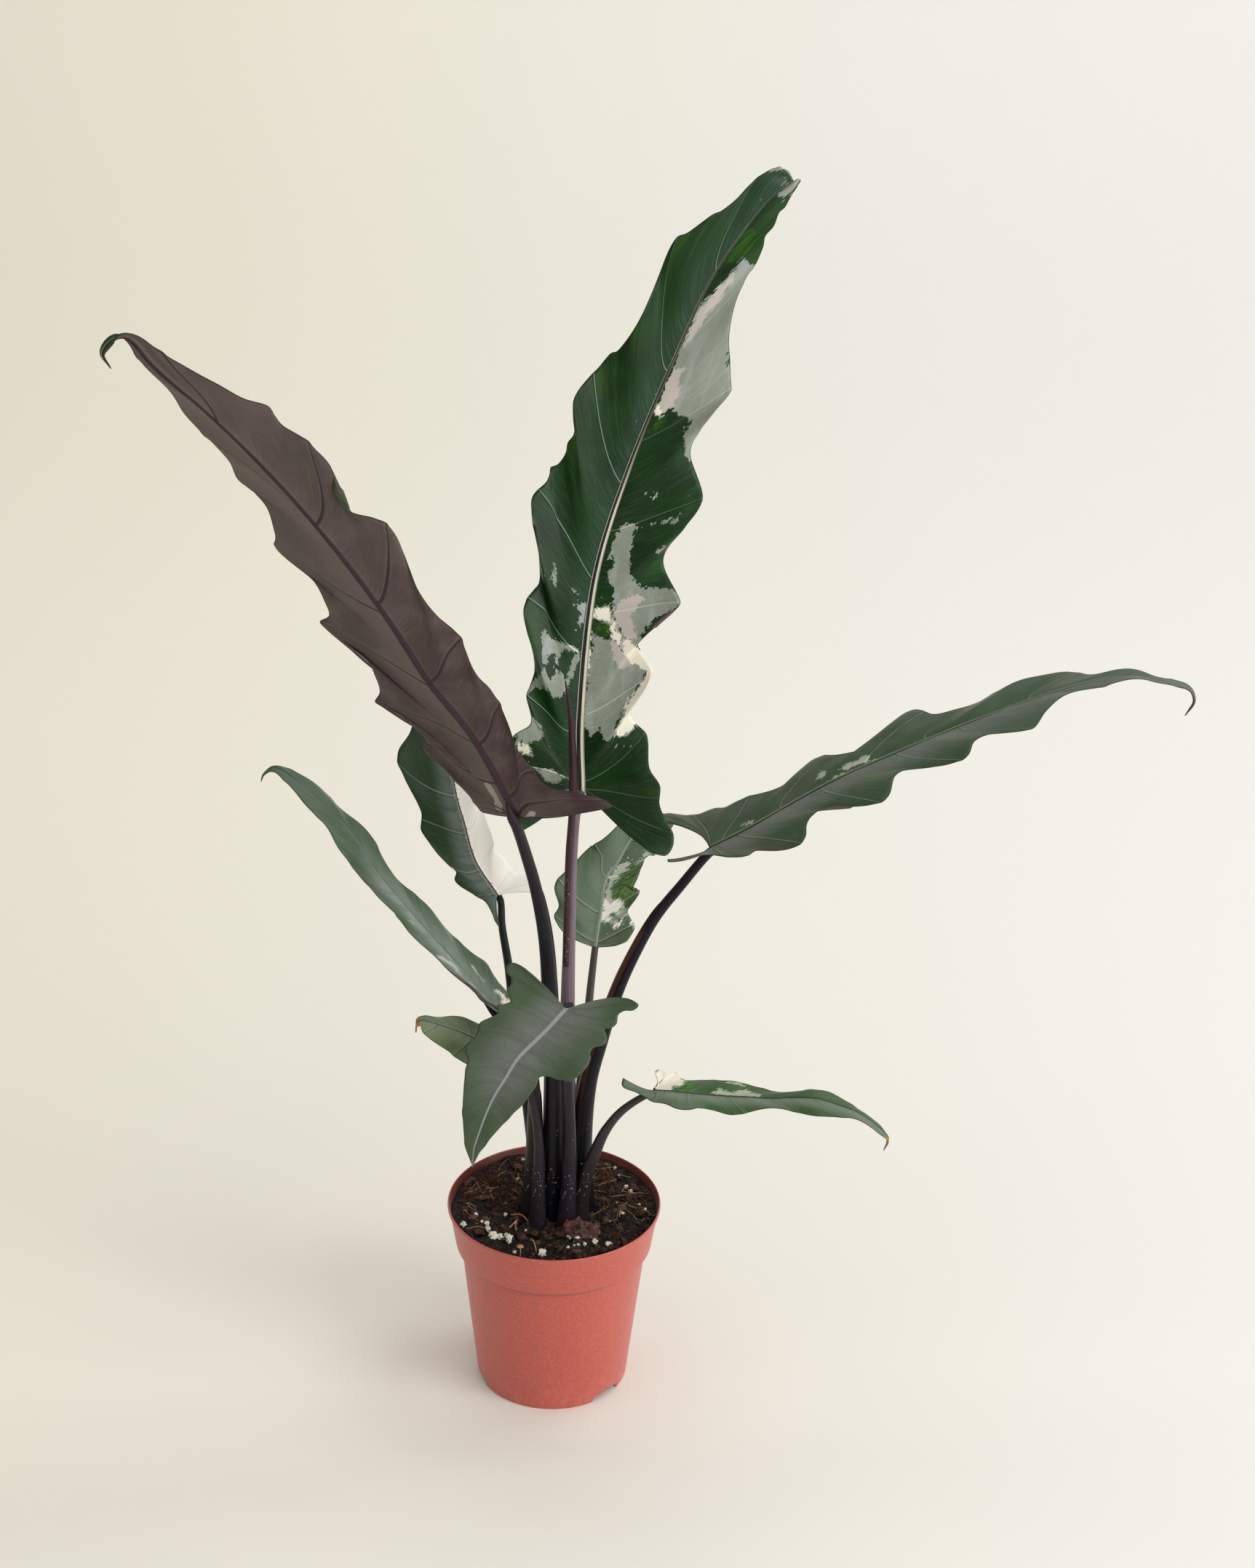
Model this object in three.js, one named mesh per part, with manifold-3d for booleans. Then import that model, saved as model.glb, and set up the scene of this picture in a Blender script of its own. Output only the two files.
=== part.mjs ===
// A potted aroid: a nursery pot filled with mix, a hidden rhizome, nine leaves and one leaf still rolled.
// Millimetres, +Z up, the camera of the photograph on the -Y side, the origin under the pot's centre.
import * as THREE from "three";
import { mergeVertices } from "three/addons/utils/BufferGeometryUtils.js";
import Module from "manifold-3d";

const wasm = await Module();
wasm.setup();

// Pot
const POT_HEIGHT = 112;
const RIM_RADIUS = 60;
const BASE_RADIUS = 42.8;
const COLLAR_FOOT = 87.5;
const WALL = 1.3;
const FLOOR_Z = 4;
const FLOOR = 1.6;
const PAD_RADIUS = 13;
const POT_SIDES = 48;
const NOTCH = { width: 22, height: 3.6, turns: [-42, 78, 198] };

// Mix and rhizome
const SOIL_TOP = 104;
const SOIL_SIDES = 40;
const RHIZOME = { center: [4, 1, 78], radius: [17, 14, 13] };

// Clearance between pieces that touch, and leaf thickness
const GAP = 0.3;
const BLADE = 0.8;
const RIB = 1.8;
const PETIOLE_SIDES = 9;

// Part of the margin that belongs to the basal lobes, where all rows start at the attachment
const LOBE_PART = 0.16;

// Each leaf. rib runs from the attachment to the tip. side is the way its own right half points, at
// the base and at the tip. left and right are margins from lobe tip to leaf tip, as distances out
// from the midrib and along it. lift raises the two basal lobes and bow rounds their inner edges.
// wave is the height of the ruffles and beats their number on each side.
// path is the petiole from the mix to just below the blade, with its radius at both ends, and
// sheath is how far up its wing reaches, how wide it is and which way it faces (0 right, 90 front).
const LEAVES = {
  tall: {
    rib: [[11, 10, 363], [10, 20, 405], [16, 38, 472], [33, 52, 530], [57, 62, 591], [74, 68, 628],
      [97, 74, 661], [112, 80, 673], [115, 90, 668]],
    side: [[1, 0, 0], [1, 0.15, 0]],
    fold: 10,
    lift: [0, 8],
    bow: [3, 6],
    wave: 3.5,
    beats: [7, 7.5],
    left: [[32, -21], [40, -6], [41, 12], [36, 29], [26, 36], [28, 50], [25, 62], [31, 80], [34, 93],
      [29, 107], [38, 128], [43, 145], [38, 161], [34, 176], [39, 193], [35, 210], [30, 227], [26, 247],
      [25, 268], [28, 287], [20, 303], [15, 322], [10, 342]],
    right: [[41, -31.5], [46, -32.5], [49.5, -28], [49.5, -22], [45.5, -15], [42, -5], [42.5, 4],
      [37, 13], [36, 30], [27, 42], [33, 56], [36, 69], [27, 83], [38, 98], [46, 110], [33, 132],
      [38, 155], [41, 173], [27, 192], [33, 212], [33, 231], [23, 244], [19, 262], [17, 280],
      [15, 298], [10, 318], [6, 336]],
    rows: 40,
    columns: [0, 0.12, 0.4, 0.72, 1],
    path: [[8, 3, 86], [6.8, 3, 180], [6.4, 4, 236], [6.6, 6, 273], [7.2, 8, 316], [8.6, 9.5, 345]],
    radius: [5.4, 2],
    sheath: { to: 328, wide: 2.6, turn: 190 },
  },
  left: {
    rib: [[-21, -30, 365], [-41, -48, 415], [-64, -62, 454], [-86, -78, 499], [-114, -96, 547],
      [-139, -112, 584], [-159, -124, 610], [-179, -134, 632], [-188, -140, 646], [-193, -143, 649],
      [-199, -142, 645], [-202, -139, 639], [-199, -136, 632]],
    side: [[-0.8, 0.45, -0.3], [-0.8, 0.45, -0.3]],
    fold: 10,
    lift: [0, 15],
    bow: [3, 0],
    wave: 3.5,
    beats: [8, 7],
    left: [[53, -1], [47, 8], [38, 15], [24, 21], [20, 34], [19, 50], [23, 65], [26, 86], [25, 99],
      [29, 126], [24, 140], [24, 162], [33, 188], [31, 204], [24, 222], [29, 240], [27, 262], [29, 285],
      [20, 296], [14, 320], [8, 338], [3.5, 356]],
    right: [[30, -8], [30, 8], [36, 24], [45, 38], [37, 51], [38, 66], [51, 86], [39, 99], [35, 116],
      [49, 139], [38, 155], [34, 172], [40, 198], [32, 210], [24, 232], [21, 262], [22, 281], [17, 295],
      [9, 318], [4, 344]],
    rows: 40,
    columns: [0, 0.12, 0.4, 0.72, 1],
    path: [[-2, -3, 86], [-1.5, -5, 187], [-3.3, -10, 235], [-5.9, -15, 282], [-11, -20, 317],
      [-17, -25, 343]],
    radius: [6, 2.8],
    sheath: { to: 316, wide: 2, turn: 10 },
  },
  right: {
    rib: [[81, 22, 325], [103, 24, 337], [142, 28, 361], [181, 32, 380], [220, 36, 397], [259, 40, 412],
      [298, 44, 422], [318, 46, 419], [333, 47, 415], [338, 47, 407], [334, 47, 398]],
    side: [[0, -1, -0.17], [0, -1, -0.17]],
    fold: 1,
    lift: [4, 16],
    bow: [-3, 0],
    wave: 3,
    beats: [6, 6.5],
    left: [[38.5, -22], [43.5, -21], [44.5, -17], [41.5, -12], [36.5, -4], [35, 4.5], [32.5, 9.5],
      [27, 14.5], [25.5, 21], [24, 32], [23, 47], [28, 68], [18, 84], [18, 98],
      [29, 116], [29, 130], [19, 139], [19, 153], [17, 172], [18, 195], [18, 213], [5, 227], [4, 250],
      [3, 272]],
    right: [[12, -21.5], [15, -21], [15, -14], [15, -6], [18, 2], [24, 10], [28.5, 16], [28.5, 20],
      [26, 24], [30, 31], [34.5, 39], [36, 45.5], [34.5, 50.5], [28.5, 54], [25, 59], [24, 70], [38, 97],
      [23, 108],
      [22, 120], [31, 144], [22, 153], [20, 165], [24, 183], [16, 194], [7, 212], [5, 228], [5, 250],
      [4, 272]],
    rows: 40,
    columns: [0, 0.12, 0.4, 0.72, 1],
    path: [[17, 2, 86], [15.4, 2, 142], [18, 4, 184], [24.5, 7, 212], [31.5, 10, 237], [39.5, 13, 258],
      [52, 17, 283], [66.5, 20, 303]],
    radius: [5.6, 2.4],
    sheath: { to: 290, wide: 2.6, turn: 200 },
  },
  slender: {
    rib: [[-29, -20, 243], [-51, -16, 267], [-74, -12, 293], [-97, -8, 321], [-110, -4, 341],
      [-131, 0, 361], [-148, 4, 373], [-156, 5, 370], [-158, 5, 365]],
    side: [[0, 1, 0.08], [0, 1, 0.08]],
    fold: 3,
    lift: [4, 4],
    bow: [0, 0],
    wave: 2,
    beats: [4, 4.5],
    left: [[8, -14], [8, -3], [6, 8], [7, 20], [15, 34], [18, 43], [14, 58], [20, 81], [25, 95],
      [22, 107], [27, 129], [23, 141], [17, 153], [9, 164], [5, 178]],
    right: [[17, -14], [21, -5], [22, 5], [20, 13], [22, 22], [20, 31], [23, 48], [16, 74], [18, 98],
      [15, 122], [14, 140], [10, 158], [6, 174]],
    rows: 26,
    columns: [0, 0.16, 0.6, 1],
    path: [[-13, -2, 86], [-12, -3, 120], [-11.5, -7, 160], [-12, -12, 199], [-18, -17, 226]],
    radius: [5.4, 2],
    sheath: { to: 190, wide: 1.6, turn: 20 },
  },
  front: {
    rib: [[6, -42, 259], [-5, -50, 249], [-18, -58, 238], [-25, -64, 228], [-31, -69, 219],
      [-36, -75, 208], [-40, -80, 196], [-41, -84, 186]],
    side: [[-0.8, 0.37, 0.33], [-0.85, 0.3, 0.2]],
    fold: 6,
    lift: [2, 2],
    bow: [7, 1],
    wave: 1.2,
    beats: [3, 3],
    left: [[24.5, -25.5], [28.5, -26], [28.5, -22], [25, -19], [23.6, -15], [26, -11.3],
      [25.5, -7.5], [23.2, -5.2], [26.8, -3.2], [28.8, -0.5], [28, 3], [26, 6.5], [26.4, 9.5],
      [29, 12], [30.5, 16], [30.5, 21], [29, 25.5], [26, 27.5], [23.5, 30], [19, 32.6],
      [15.8, 37.5], [16.3, 44.6], [15.6, 57], [11, 70.5], [7, 81], [3.5, 90.5]],
    right: [[33, -0.5], [37, 1], [38.8, 4], [36.5, 6.6], [32.6, 7], [30.6, 10], [30.4, 13.5],
      [27, 15.6], [24, 18], [25, 22], [27.5, 25.5], [24.5, 28], [25.8, 31.5], [28, 35.5],
      [25.6, 38], [25.8, 41], [27, 44.5], [25.5, 47.8], [22.5, 51], [19.5, 57], [16, 64],
      [12, 74.5], [6.5, 86], [3, 93]],
    rows: 34,
    columns: [0, 0.16, 0.6, 1],
    path: [[6, -14, 88], [8.5, -14, 128], [8.8, -18, 166], [8, -24, 197], [7.2, -32, 228]],
    radius: [3.8, 1.7],
    sheath: { to: 160, wide: 1, turn: 180 },
  },
  low: {
    rib: [[54, -25, 200], [66, -26, 200], [84, -27, 199], [99, -28, 199], [115, -29, 199],
      [131, -31, 201], [142, -33, 202], [152, -35, 200], [163, -37, 197], [173, -39, 191],
      [180, -40, 184], [181, -41, 181], [179, -42, 176]],
    side: [[0, -1, 0], [0, -1, -0.1]],
    fold: 4,
    lift: [4, 8],
    bow: [0, 0],
    wave: 1.5,
    beats: [3, 3.5],
    left: [[14, -1], [18, 3], [19, 10], [13, 14], [13, 30], [14, 42], [12, 50], [9, 60], [7, 72],
      [6, 86], [7, 96], [5, 110], [4, 124]],
    right: [[4, -16.5], [7.5, -16.8], [9.5, -14.5], [8.5, -10], [10.5, -4.5], [14, 1], [16, 7],
      [21, 12.5], [22, 17], [19.5, 21], [15.6, 25.5], [14.5, 33], [18, 43], [16, 52],
      [12, 66], [13, 79], [16, 91], [13, 102], [9, 114], [5, 126]],
    rows: 26,
    columns: [0, 0.16, 0.6, 1],
    path: [[13.5, -9, 88], [14.8, -9, 110], [17, -11, 131], [23.5, -14, 155], [29.5, -18, 172],
      [38, -22, 186]],
    radius: [4, 1.5],
    sheath: { to: 172, wide: 1.5, turn: 170 },
  },
  cream: {
    rib: [[-35, 50, 278], [-48, 60, 294], [-55, 70, 313], [-60, 78, 327], [-63, 88, 345],
      [-61, 98, 365], [-56, 106, 386], [-50, 112, 395]],
    side: [[1, 0, 0], [1, 0.2, 0]],
    fold: 8,
    lift: [0, 0],
    bow: [0, 0],
    wave: 2,
    beats: [3.5, 3],
    left: [[9, -16], [8, -7], [8, 3], [15, 18], [12, 23], [19, 34], [24, 48], [21, 57], [27, 74],
      [30, 84], [24, 94], [22, 108], [16, 124]],
    right: [[21, -12], [22, -2], [15, 5], [15, 16], [12, 24], [14, 34], [13, 48], [16, 62], [22, 76],
      [29, 92], [30, 108], [25, 120], [15, 132]],
    rows: 24,
    columns: [0, 0.16, 0.6, 1],
    path: [[-6, 9, 86], [-8, 9, 112], [-16.3, 18, 170], [-24, 29, 212], [-28, 38, 240],
      [-32, 45, 261]],
    radius: [4.6, 1.8],
    sheath: { to: 180, wide: 1.2, turn: 0 },
  },
  rear: {
    rib: [[20, 40, 253], [22, 48, 267], [25, 58, 286], [31, 62, 294], [39, 68, 307], [49, 72, 313],
      [63, 74, 315]],
    side: [[1, 0, 0], [0.8, 0, -0.5]],
    fold: 10,
    lift: [0, 0],
    bow: [0, 0],
    wave: 2,
    beats: [3, 3.5],
    left: [[14, 3], [21, 7], [25, 13], [24, 20], [28, 29], [25, 35], [19, 41], [17, 51], [12, 63],
      [10, 75], [6, 85]],
    right: [[13, 3], [18, 7], [20, 14], [15, 22], [19, 31], [19, 39], [14, 48], [12, 58], [16, 68],
      [11, 82]],
    rows: 20,
    columns: [0, 0.16, 0.6, 1],
    path: [[3, 14, 86], [8, 14, 120], [13.2, 19, 170], [16, 27, 201], [17.5, 33, 226]],
    radius: [4.2, 1.7],
    sheath: { to: 170, wide: 1, turn: 180 },
  },
  small: {
    rib: [[-28, -18, 218], [-43, -20, 227], [-54, -20, 232], [-65, -22, 237], [-73, -23, 239],
      [-75, -24, 236], [-75, -24, 232]],
    side: [[0, 1, 0.35], [0, 1, 0.35]],
    fold: -5,
    lift: [0, 0],
    bow: [0, 0],
    wave: 1,
    beats: [2, 2],
    left: [[8, -9], [13, 1], [17, 10], [19, 19], [17, 28], [13, 38], [8, 47]],
    right: [[9, -8], [13, 0], [12, 10], [11, 20], [11, 30], [7, 38], [4, 46]],
    rows: 14,
    columns: [0, 0.2, 0.6, 1],
    path: [[-9, -13, 88], [-8.5, -13, 120], [-9, -14, 164], [-16, -16, 200]],
    radius: [3.4, 1.4],
    sheath: { to: 150, wide: 0.8, turn: 180 },
  },
};

// The rolled new leaf, from inside the tall leaf's sheath to its tip: points and radii
const ROLLED = {
  path: [[4.6, 1, 262], [4.9, 1, 300], [5.6, 0, 330], [6.7, -0.5, 352], [7.2, -0.5, 371],
    [6.5, 0, 391], [5.1, 1, 410], [2.2, 3, 428]],
  radii: [2.2, 2.3, 2.5, 2.3, 2.9, 2.6, 1.7, 0.5],
};

const vector = (p) => new THREE.Vector3(p[0], p[1], p[2] ?? 0);

const smooth = (points) => {
  const curve = new THREE.CatmullRomCurve3(points.map(vector), false, "catmullrom", 0.5);
  curve.arcLengthDivisions = 400;
  return curve;
};

const clamp = (t) => Math.min(1, Math.max(0, t));

// Solids and meshes

function toSolid(geometry) {
  const bare = geometry.clone();
  bare.deleteAttribute("normal");
  bare.deleteAttribute("uv");
  const merged = mergeVertices(bare, 1e-3);
  const index = merged.index.array;
  const kept = [];
  for (let i = 0; i < index.length; i += 3) {
    const [a, b, c] = [index[i], index[i + 1], index[i + 2]];
    if (a !== b && b !== c && c !== a) kept.push(a, b, c);
  }
  return new wasm.Manifold(
    new wasm.Mesh({
      numProp: 3,
      vertProperties: merged.attributes.position.array,
      triVerts: new Uint32Array(kept),
    }),
  );
}

function biggest(solid) {
  const parts = solid.decompose();
  return parts.reduce((best, part) => (part.volume() > best.volume() ? part : best));
}

function toMesh(name, solid, color) {
  const { vertProperties, triVerts } = solid.getMesh();
  const geometry = new THREE.BufferGeometry();
  geometry.setAttribute("position", new THREE.BufferAttribute(vertProperties, 3));
  geometry.setIndex(new THREE.BufferAttribute(triVerts, 1));
  geometry.computeVertexNormals();
  const mesh = new THREE.Mesh(geometry, new THREE.MeshStandardMaterial({ color, roughness: 0.6 }));
  mesh.name = name;
  return mesh;
}

// Leaf blades

// The leaf's surface as a function of the distance out, the distance along and the height above it.
function leafSurface(leaf) {
  const rib = smooth(leaf.rib);
  const length = rib.getLength();
  const [side0, side1] = leaf.side.map(vector);
  const fold = THREE.MathUtils.degToRad(leaf.fold);
  const frame = (y) => {
    const at = (d) => rib.getPointAt(clamp((y + d) / length));
    const along = at(1.5).sub(at(-1.5)).normalize();
    const side = side0.clone().lerp(side1, clamp(y / length));
    side.addScaledVector(along, -side.dot(along)).normalize();
    const up = side.clone().cross(along);
    return { center: at(0).addScaledVector(along, Math.min(0, y)), along, side, up };
  };
  const point = (x, y, height) => {
    const { center, side, up } = frame(Math.max(0, y));
    const base = frame(0);
    if (y < 0) center.addScaledVector(base.along, y);
    return center
      .addScaledVector(side, x * Math.cos(fold))
      .addScaledVector(up, Math.abs(x) * Math.sin(fold) + height);
  };
  return { point, length };
}

// Places the point u out (-1 to 1) on row v (0 at the basal lobes, 1 at the tip).
function leafPlace(leaf, surface) {
  const margins = [leaf.left, leaf.right].map((m) => smooth([...m, [0, surface.length]]));
  return (u, v, height) => {
    const k = u < 0 ? 0 : 1;
    const out = Math.abs(u);
    const edge = margins[k].getPointAt(v);
    const beyond = clamp((v - LOBE_PART) / (1 - LOBE_PART));
    const root = surface.length * beyond ** 1.35;
    const ruffle = leaf.wave * Math.cos(2 * Math.PI * leaf.beats[k] * v + k) * Math.min(1, 4 * (1 - v));
    const lobe = leaf.lift[k] * clamp(1 - v / (1.6 * LOBE_PART)) ** 2;
    const bow = leaf.bow[k] * 4 * out * (1 - out) * clamp(1 - v / LOBE_PART) ** 2;
    const x = Math.sign(u) * edge.x * out;
    const y = root + (edge.y - root) * out ** 1.3 - bow;
    return surface.point(x, y, height + (ruffle + lobe) * out ** 2);
  };
}

// A blade: two like grids, one above and one below, joined round the margin by a wall. pad makes it
// thicker, for cutting clearance.
function bladeGeometry(leaf, pad = 0) {
  const surface = leafSurface(leaf);
  const place = leafPlace(leaf, surface);
  const out = [...leaf.columns.slice(1).reverse().map((u) => -u), ...leaf.columns];
  const [cols, rows] = [out.length - 1, leaf.rows];
  const sheet = new THREE.PlaneGeometry(2, 1, cols, rows);
  const positions = [];
  const layer = (top) => {
    for (let j = 0; j <= rows; j++) {
      const v = 1 - j / rows;
      const along = clamp((v - LOBE_PART) / (1 - LOBE_PART));
      for (let i = 0; i <= cols; i++) {
        const rib = Math.abs(out[i]) < 0.01 ? RIB * Math.min(1, along / 0.05) * (1 - along) ** 0.6 : 0;
        const height = top ? pad : -BLADE - rib - pad;
        positions.push(...place(out[i], v, height).toArray());
      }
    }
  };
  layer(true);
  layer(false);
  const half = (cols + 1) * (rows + 1);
  const upper = Array.from(sheet.index.array);
  const index = [...upper];
  for (let i = 0; i < upper.length; i += 3) {
    index.push(upper[i] + half, upper[i + 2] + half, upper[i + 1] + half);
  }
  for (const [a, b] of marginEdges(cols, rows)) {
    index.push(a, b + half, b, a, a + half, b + half);
  }
  const geometry = new THREE.BufferGeometry();
  geometry.setAttribute("position", new THREE.Float32BufferAttribute(positions, 3));
  geometry.setIndex(index);
  return geometry;
}

// The grid's border as directed edges, with the upper face on the left.
function marginEdges(cols, rows) {
  const at = (i, j) => j * (cols + 1) + i;
  const edges = [];
  for (let i = 0; i < cols; i++) {
    edges.push([at(i + 1, 0), at(i, 0)]);
    edges.push([at(i, rows), at(i + 1, rows)]);
  }
  for (let j = 0; j < rows; j++) {
    edges.push([at(0, j), at(0, j + 1)]);
    edges.push([at(cols, j + 1), at(cols, j)]);
  }
  return edges;
}

// Petioles and the rolled leaf

// Bends a cylinder along a curve. width gives the radius for the part of the way and the angle.
function bentRod(curve, segments, width) {
  const rod = new THREE.CylinderGeometry(1, 1, 1, PETIOLE_SIDES, segments);
  const position = rod.getAttribute("position");
  const p = new THREE.Vector3();
  for (let i = 0; i < position.count; i++) {
    p.fromBufferAttribute(position, i);
    const part = clamp(p.y + 0.5);
    const along = curve.getTangentAt(part);
    const front = new THREE.Vector3(0, -1, 0);
    front.addScaledVector(along, -front.dot(along)).normalize();
    const side = along.clone().cross(front);
    const r = Math.hypot(p.x, p.z) * width(part, Math.atan2(p.z, p.x));
    const turn = Math.atan2(p.z, p.x);
    const place = curve.getPointAt(part);
    place.addScaledVector(side, r * Math.cos(turn)).addScaledVector(front, r * Math.sin(turn));
    position.setXYZ(i, place.x, place.y, place.z);
  }
  return rod;
}

// The petiole of a leaf. It ends 4 mm past the attachment, just under the blade.
function petioleGeometry(leaf, pad = 0) {
  const surface = leafSurface(leaf);
  const [wide, thin] = leaf.radius;
  const under = -(BLADE + thin + GAP);
  const end = surface.point(0, 4, under).toArray();
  const curve = smooth([...leaf.path, surface.point(0, -3, under).toArray(), end]);
  const turn = THREE.MathUtils.degToRad(leaf.sheath.turn);
  const [low, high] = [leaf.path[0][2], leaf.sheath.to];
  const width = (part, angle) => {
    const z = curve.getPointAt(part).z;
    const taper = thin + (wide - thin) * (1 - part) ** 1.3;
    const wing = leaf.sheath.wide * clamp((high - z) / (high - low)) ** 0.35;
    return taper + wing * Math.max(0, Math.cos(angle - turn)) ** 2 + pad;
  };
  return bentRod(curve, Math.ceil(curve.getLength() / 13), width);
}

function rolledGeometry(pad = 0) {
  const radii = smooth(ROLLED.radii.map((r, i) => [r, i]));
  const curve = smooth(ROLLED.path);
  const width = (part) => radii.getPoint(curve.getUtoTmapping(part)).x + pad;
  return bentRod(curve, 16, width);
}

// Pot, mix and rhizome

const wallRadius = (z) => BASE_RADIUS + 0.11 * z;

function potSolid() {
  const step = wallRadius(COLLAR_FOOT - 3.5);
  const collar = 55.3;
  const profile = [
    [0, 0], [PAD_RADIUS, 0], [PAD_RADIUS + 1.5, FLOOR_Z], [BASE_RADIUS - 2, FLOOR_Z], [BASE_RADIUS - 2, 0],
    [BASE_RADIUS - 0.4, 0], [BASE_RADIUS, 0.5], [step, COLLAR_FOOT - 3.5], [collar - 1, COLLAR_FOOT - 1.6],
    [collar, COLLAR_FOOT], [RIM_RADIUS - 1.2, POT_HEIGHT - 3.4], [RIM_RADIUS - 0.2, POT_HEIGHT - 2.8],
    [RIM_RADIUS, POT_HEIGHT - 1.4], [RIM_RADIUS - 0.5, POT_HEIGHT], [RIM_RADIUS - 2.3, POT_HEIGHT],
    [RIM_RADIUS - 2.7, POT_HEIGHT - 0.8], [RIM_RADIUS - 2.9, POT_HEIGHT - 3.4],
    [collar - WALL - 0.2, COLLAR_FOOT + 0.5], [step - WALL, COLLAR_FOOT - 3],
    [wallRadius(FLOOR_Z + FLOOR) - WALL, FLOOR_Z + FLOOR], [PAD_RADIUS + 0.4, FLOOR_Z + FLOOR],
    [PAD_RADIUS - 1, FLOOR], [0, FLOOR],
  ];
  const lathe = new THREE.LatheGeometry(profile.map(([r, z]) => new THREE.Vector2(r, z)), POT_SIDES);
  const turned = lathe.rotateX(Math.PI / 2);
  let pot = toSolid(turned);
  for (const turn of NOTCH.turns) {
    const cut = new THREE.BoxGeometry(14, NOTCH.width, 2 * NOTCH.height);
    cut.translate(BASE_RADIUS + 1, 0, 0);
    cut.rotateZ(THREE.MathUtils.degToRad(turn));
    pot = pot.subtract(toSolid(cut));
  }
  return biggest(pot);
}

// The mix: the pot's inner shape with an uneven top, higher round the stems.
function soilSolid() {
  const inner = (z) => {
    const collar = 55.3 - WALL - 0.2;
    const top = RIM_RADIUS - 2.9;
    if (z < COLLAR_FOOT - 3) return wallRadius(z) - WALL - GAP;
    return THREE.MathUtils.mapLinear(z, COLLAR_FOOT + 0.5, POT_HEIGHT - 3.4, collar, top) - GAP;
  };
  const low = FLOOR_Z + FLOOR + GAP;
  const edge = inner(SOIL_TOP - 3);
  const rings = [1, 0.93, 0.84, 0.73, 0.6, 0.46, 0.3, 0.15, 0];
  const profile = [
    [0, FLOOR + GAP], [PAD_RADIUS - 1.6, FLOOR + GAP], [PAD_RADIUS - 0.4, low],
    [inner(low) - 0.2, low], [wallRadius(COLLAR_FOOT - 4) - WALL - GAP, COLLAR_FOOT - 2.4],
    [inner(COLLAR_FOOT + 1.2), COLLAR_FOOT + 1.2], ...rings.map((r) => [edge * r, SOIL_TOP]),
  ];
  const lathe = new THREE.LatheGeometry(profile.map(([r, z]) => new THREE.Vector2(r, z)), SOIL_SIDES);
  const soil = lathe.rotateX(Math.PI / 2);
  const position = soil.getAttribute("position");
  for (let i = 0; i < position.count; i++) {
    const [x, y, z] = [position.getX(i), position.getY(i), position.getZ(i)];
    if (z < SOIL_TOP - 0.01) continue;
    const out = Math.hypot(x, y) / edge;
    const lumps = Math.sin(0.21 * x + 1) * Math.cos(0.24 * y) + 0.6 * Math.sin(0.43 * x - 0.37 * y);
    const slope = 1.5 * (1 - out ** 2) + (1.5 * y) / edge;
    position.setZ(i, z + 1.2 * lumps * (1 - 0.5 * out) + slope);
  }
  return toSolid(soil);
}

function rhizomeSolid() {
  const ball = new THREE.SphereGeometry(1, 16, 10);
  ball.rotateX(Math.PI / 2);
  ball.scale(...RHIZOME.radius);
  ball.translate(...RHIZOME.center);
  return toSolid(ball);
}

// Assembly

const group = new THREE.Group();

function build() {
  const blades = [];
  const stems = [];
  const thick = [];
  const rolled = toSolid(rolledGeometry());
  thick.push(toSolid(rolledGeometry(GAP)));
  for (const [name, leaf] of Object.entries(LEAVES)) {
    const blade = toSolid(bladeGeometry(leaf));
    let stem = toSolid(petioleGeometry(leaf)).subtract(toSolid(bladeGeometry(leaf, GAP)));
    for (const other of thick) stem = stem.subtract(other);
    thick.push(toSolid(petioleGeometry(leaf, GAP)));
    blades.push([name, blade]);
    stems.push([name, biggest(stem)]);
  }
  let soil = soilSolid();
  let rhizome = rhizomeSolid();
  const bed = rhizomeSolid().scale([1.02, 1.02, 1.0]);
  soil = soil.subtract(bed.translate([0, 0, 0.3])).subtract(bed.translate([0, 0, -0.3]));
  for (const stem of thick) {
    soil = soil.subtract(stem);
    rhizome = rhizome.subtract(stem);
  }
  group.add(toMesh("pot", potSolid(), 0xb5564a));
  group.add(toMesh("soil", biggest(soil), 0x2a1d16));
  group.add(toMesh("rhizome", biggest(rhizome), 0x4a3326));
  for (const [name, blade] of blades) group.add(toMesh("blade_" + name, blade, 0x3f6b45));
  for (const [name, stem] of stems) group.add(toMesh("petiole_" + name, stem, 0x2b1d2c));
  group.add(toMesh("rolled_leaf", rolled, 0x6b4550));
}

build();

export default group;
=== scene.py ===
"""Dresses the CAD frame of a potted variegated alocasia: pot, mix, nine leaves, their stalks, one
rolled leaf, and a pale studio. Sizes in the tables are millimetres in the frame of the CAD part.
"""

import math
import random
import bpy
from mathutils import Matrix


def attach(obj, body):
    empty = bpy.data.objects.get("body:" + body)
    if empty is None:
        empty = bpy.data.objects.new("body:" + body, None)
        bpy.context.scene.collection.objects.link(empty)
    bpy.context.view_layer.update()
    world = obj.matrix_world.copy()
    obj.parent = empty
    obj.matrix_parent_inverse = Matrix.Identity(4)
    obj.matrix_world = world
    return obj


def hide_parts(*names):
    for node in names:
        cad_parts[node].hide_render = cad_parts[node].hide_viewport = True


bl_info = {
    "name": "Potted variegated alocasia",
    "version": (1, 0, 0),
    "blender": (4, 5, 0),
    "location": "View3D > Sidebar > Alocasia",
    "description": "Builds the detailed leaves, stalks, pot and mix of a potted alocasia",
    "category": "Add Mesh",
}

from types import SimpleNamespace

import bmesh
import bpy
import numpy as np
from bpy.props import FloatProperty, FloatVectorProperty, IntProperty, PointerProperty
from bpy.types import Operator, Panel, PropertyGroup
from mathutils import Matrix, Vector, noise

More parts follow.
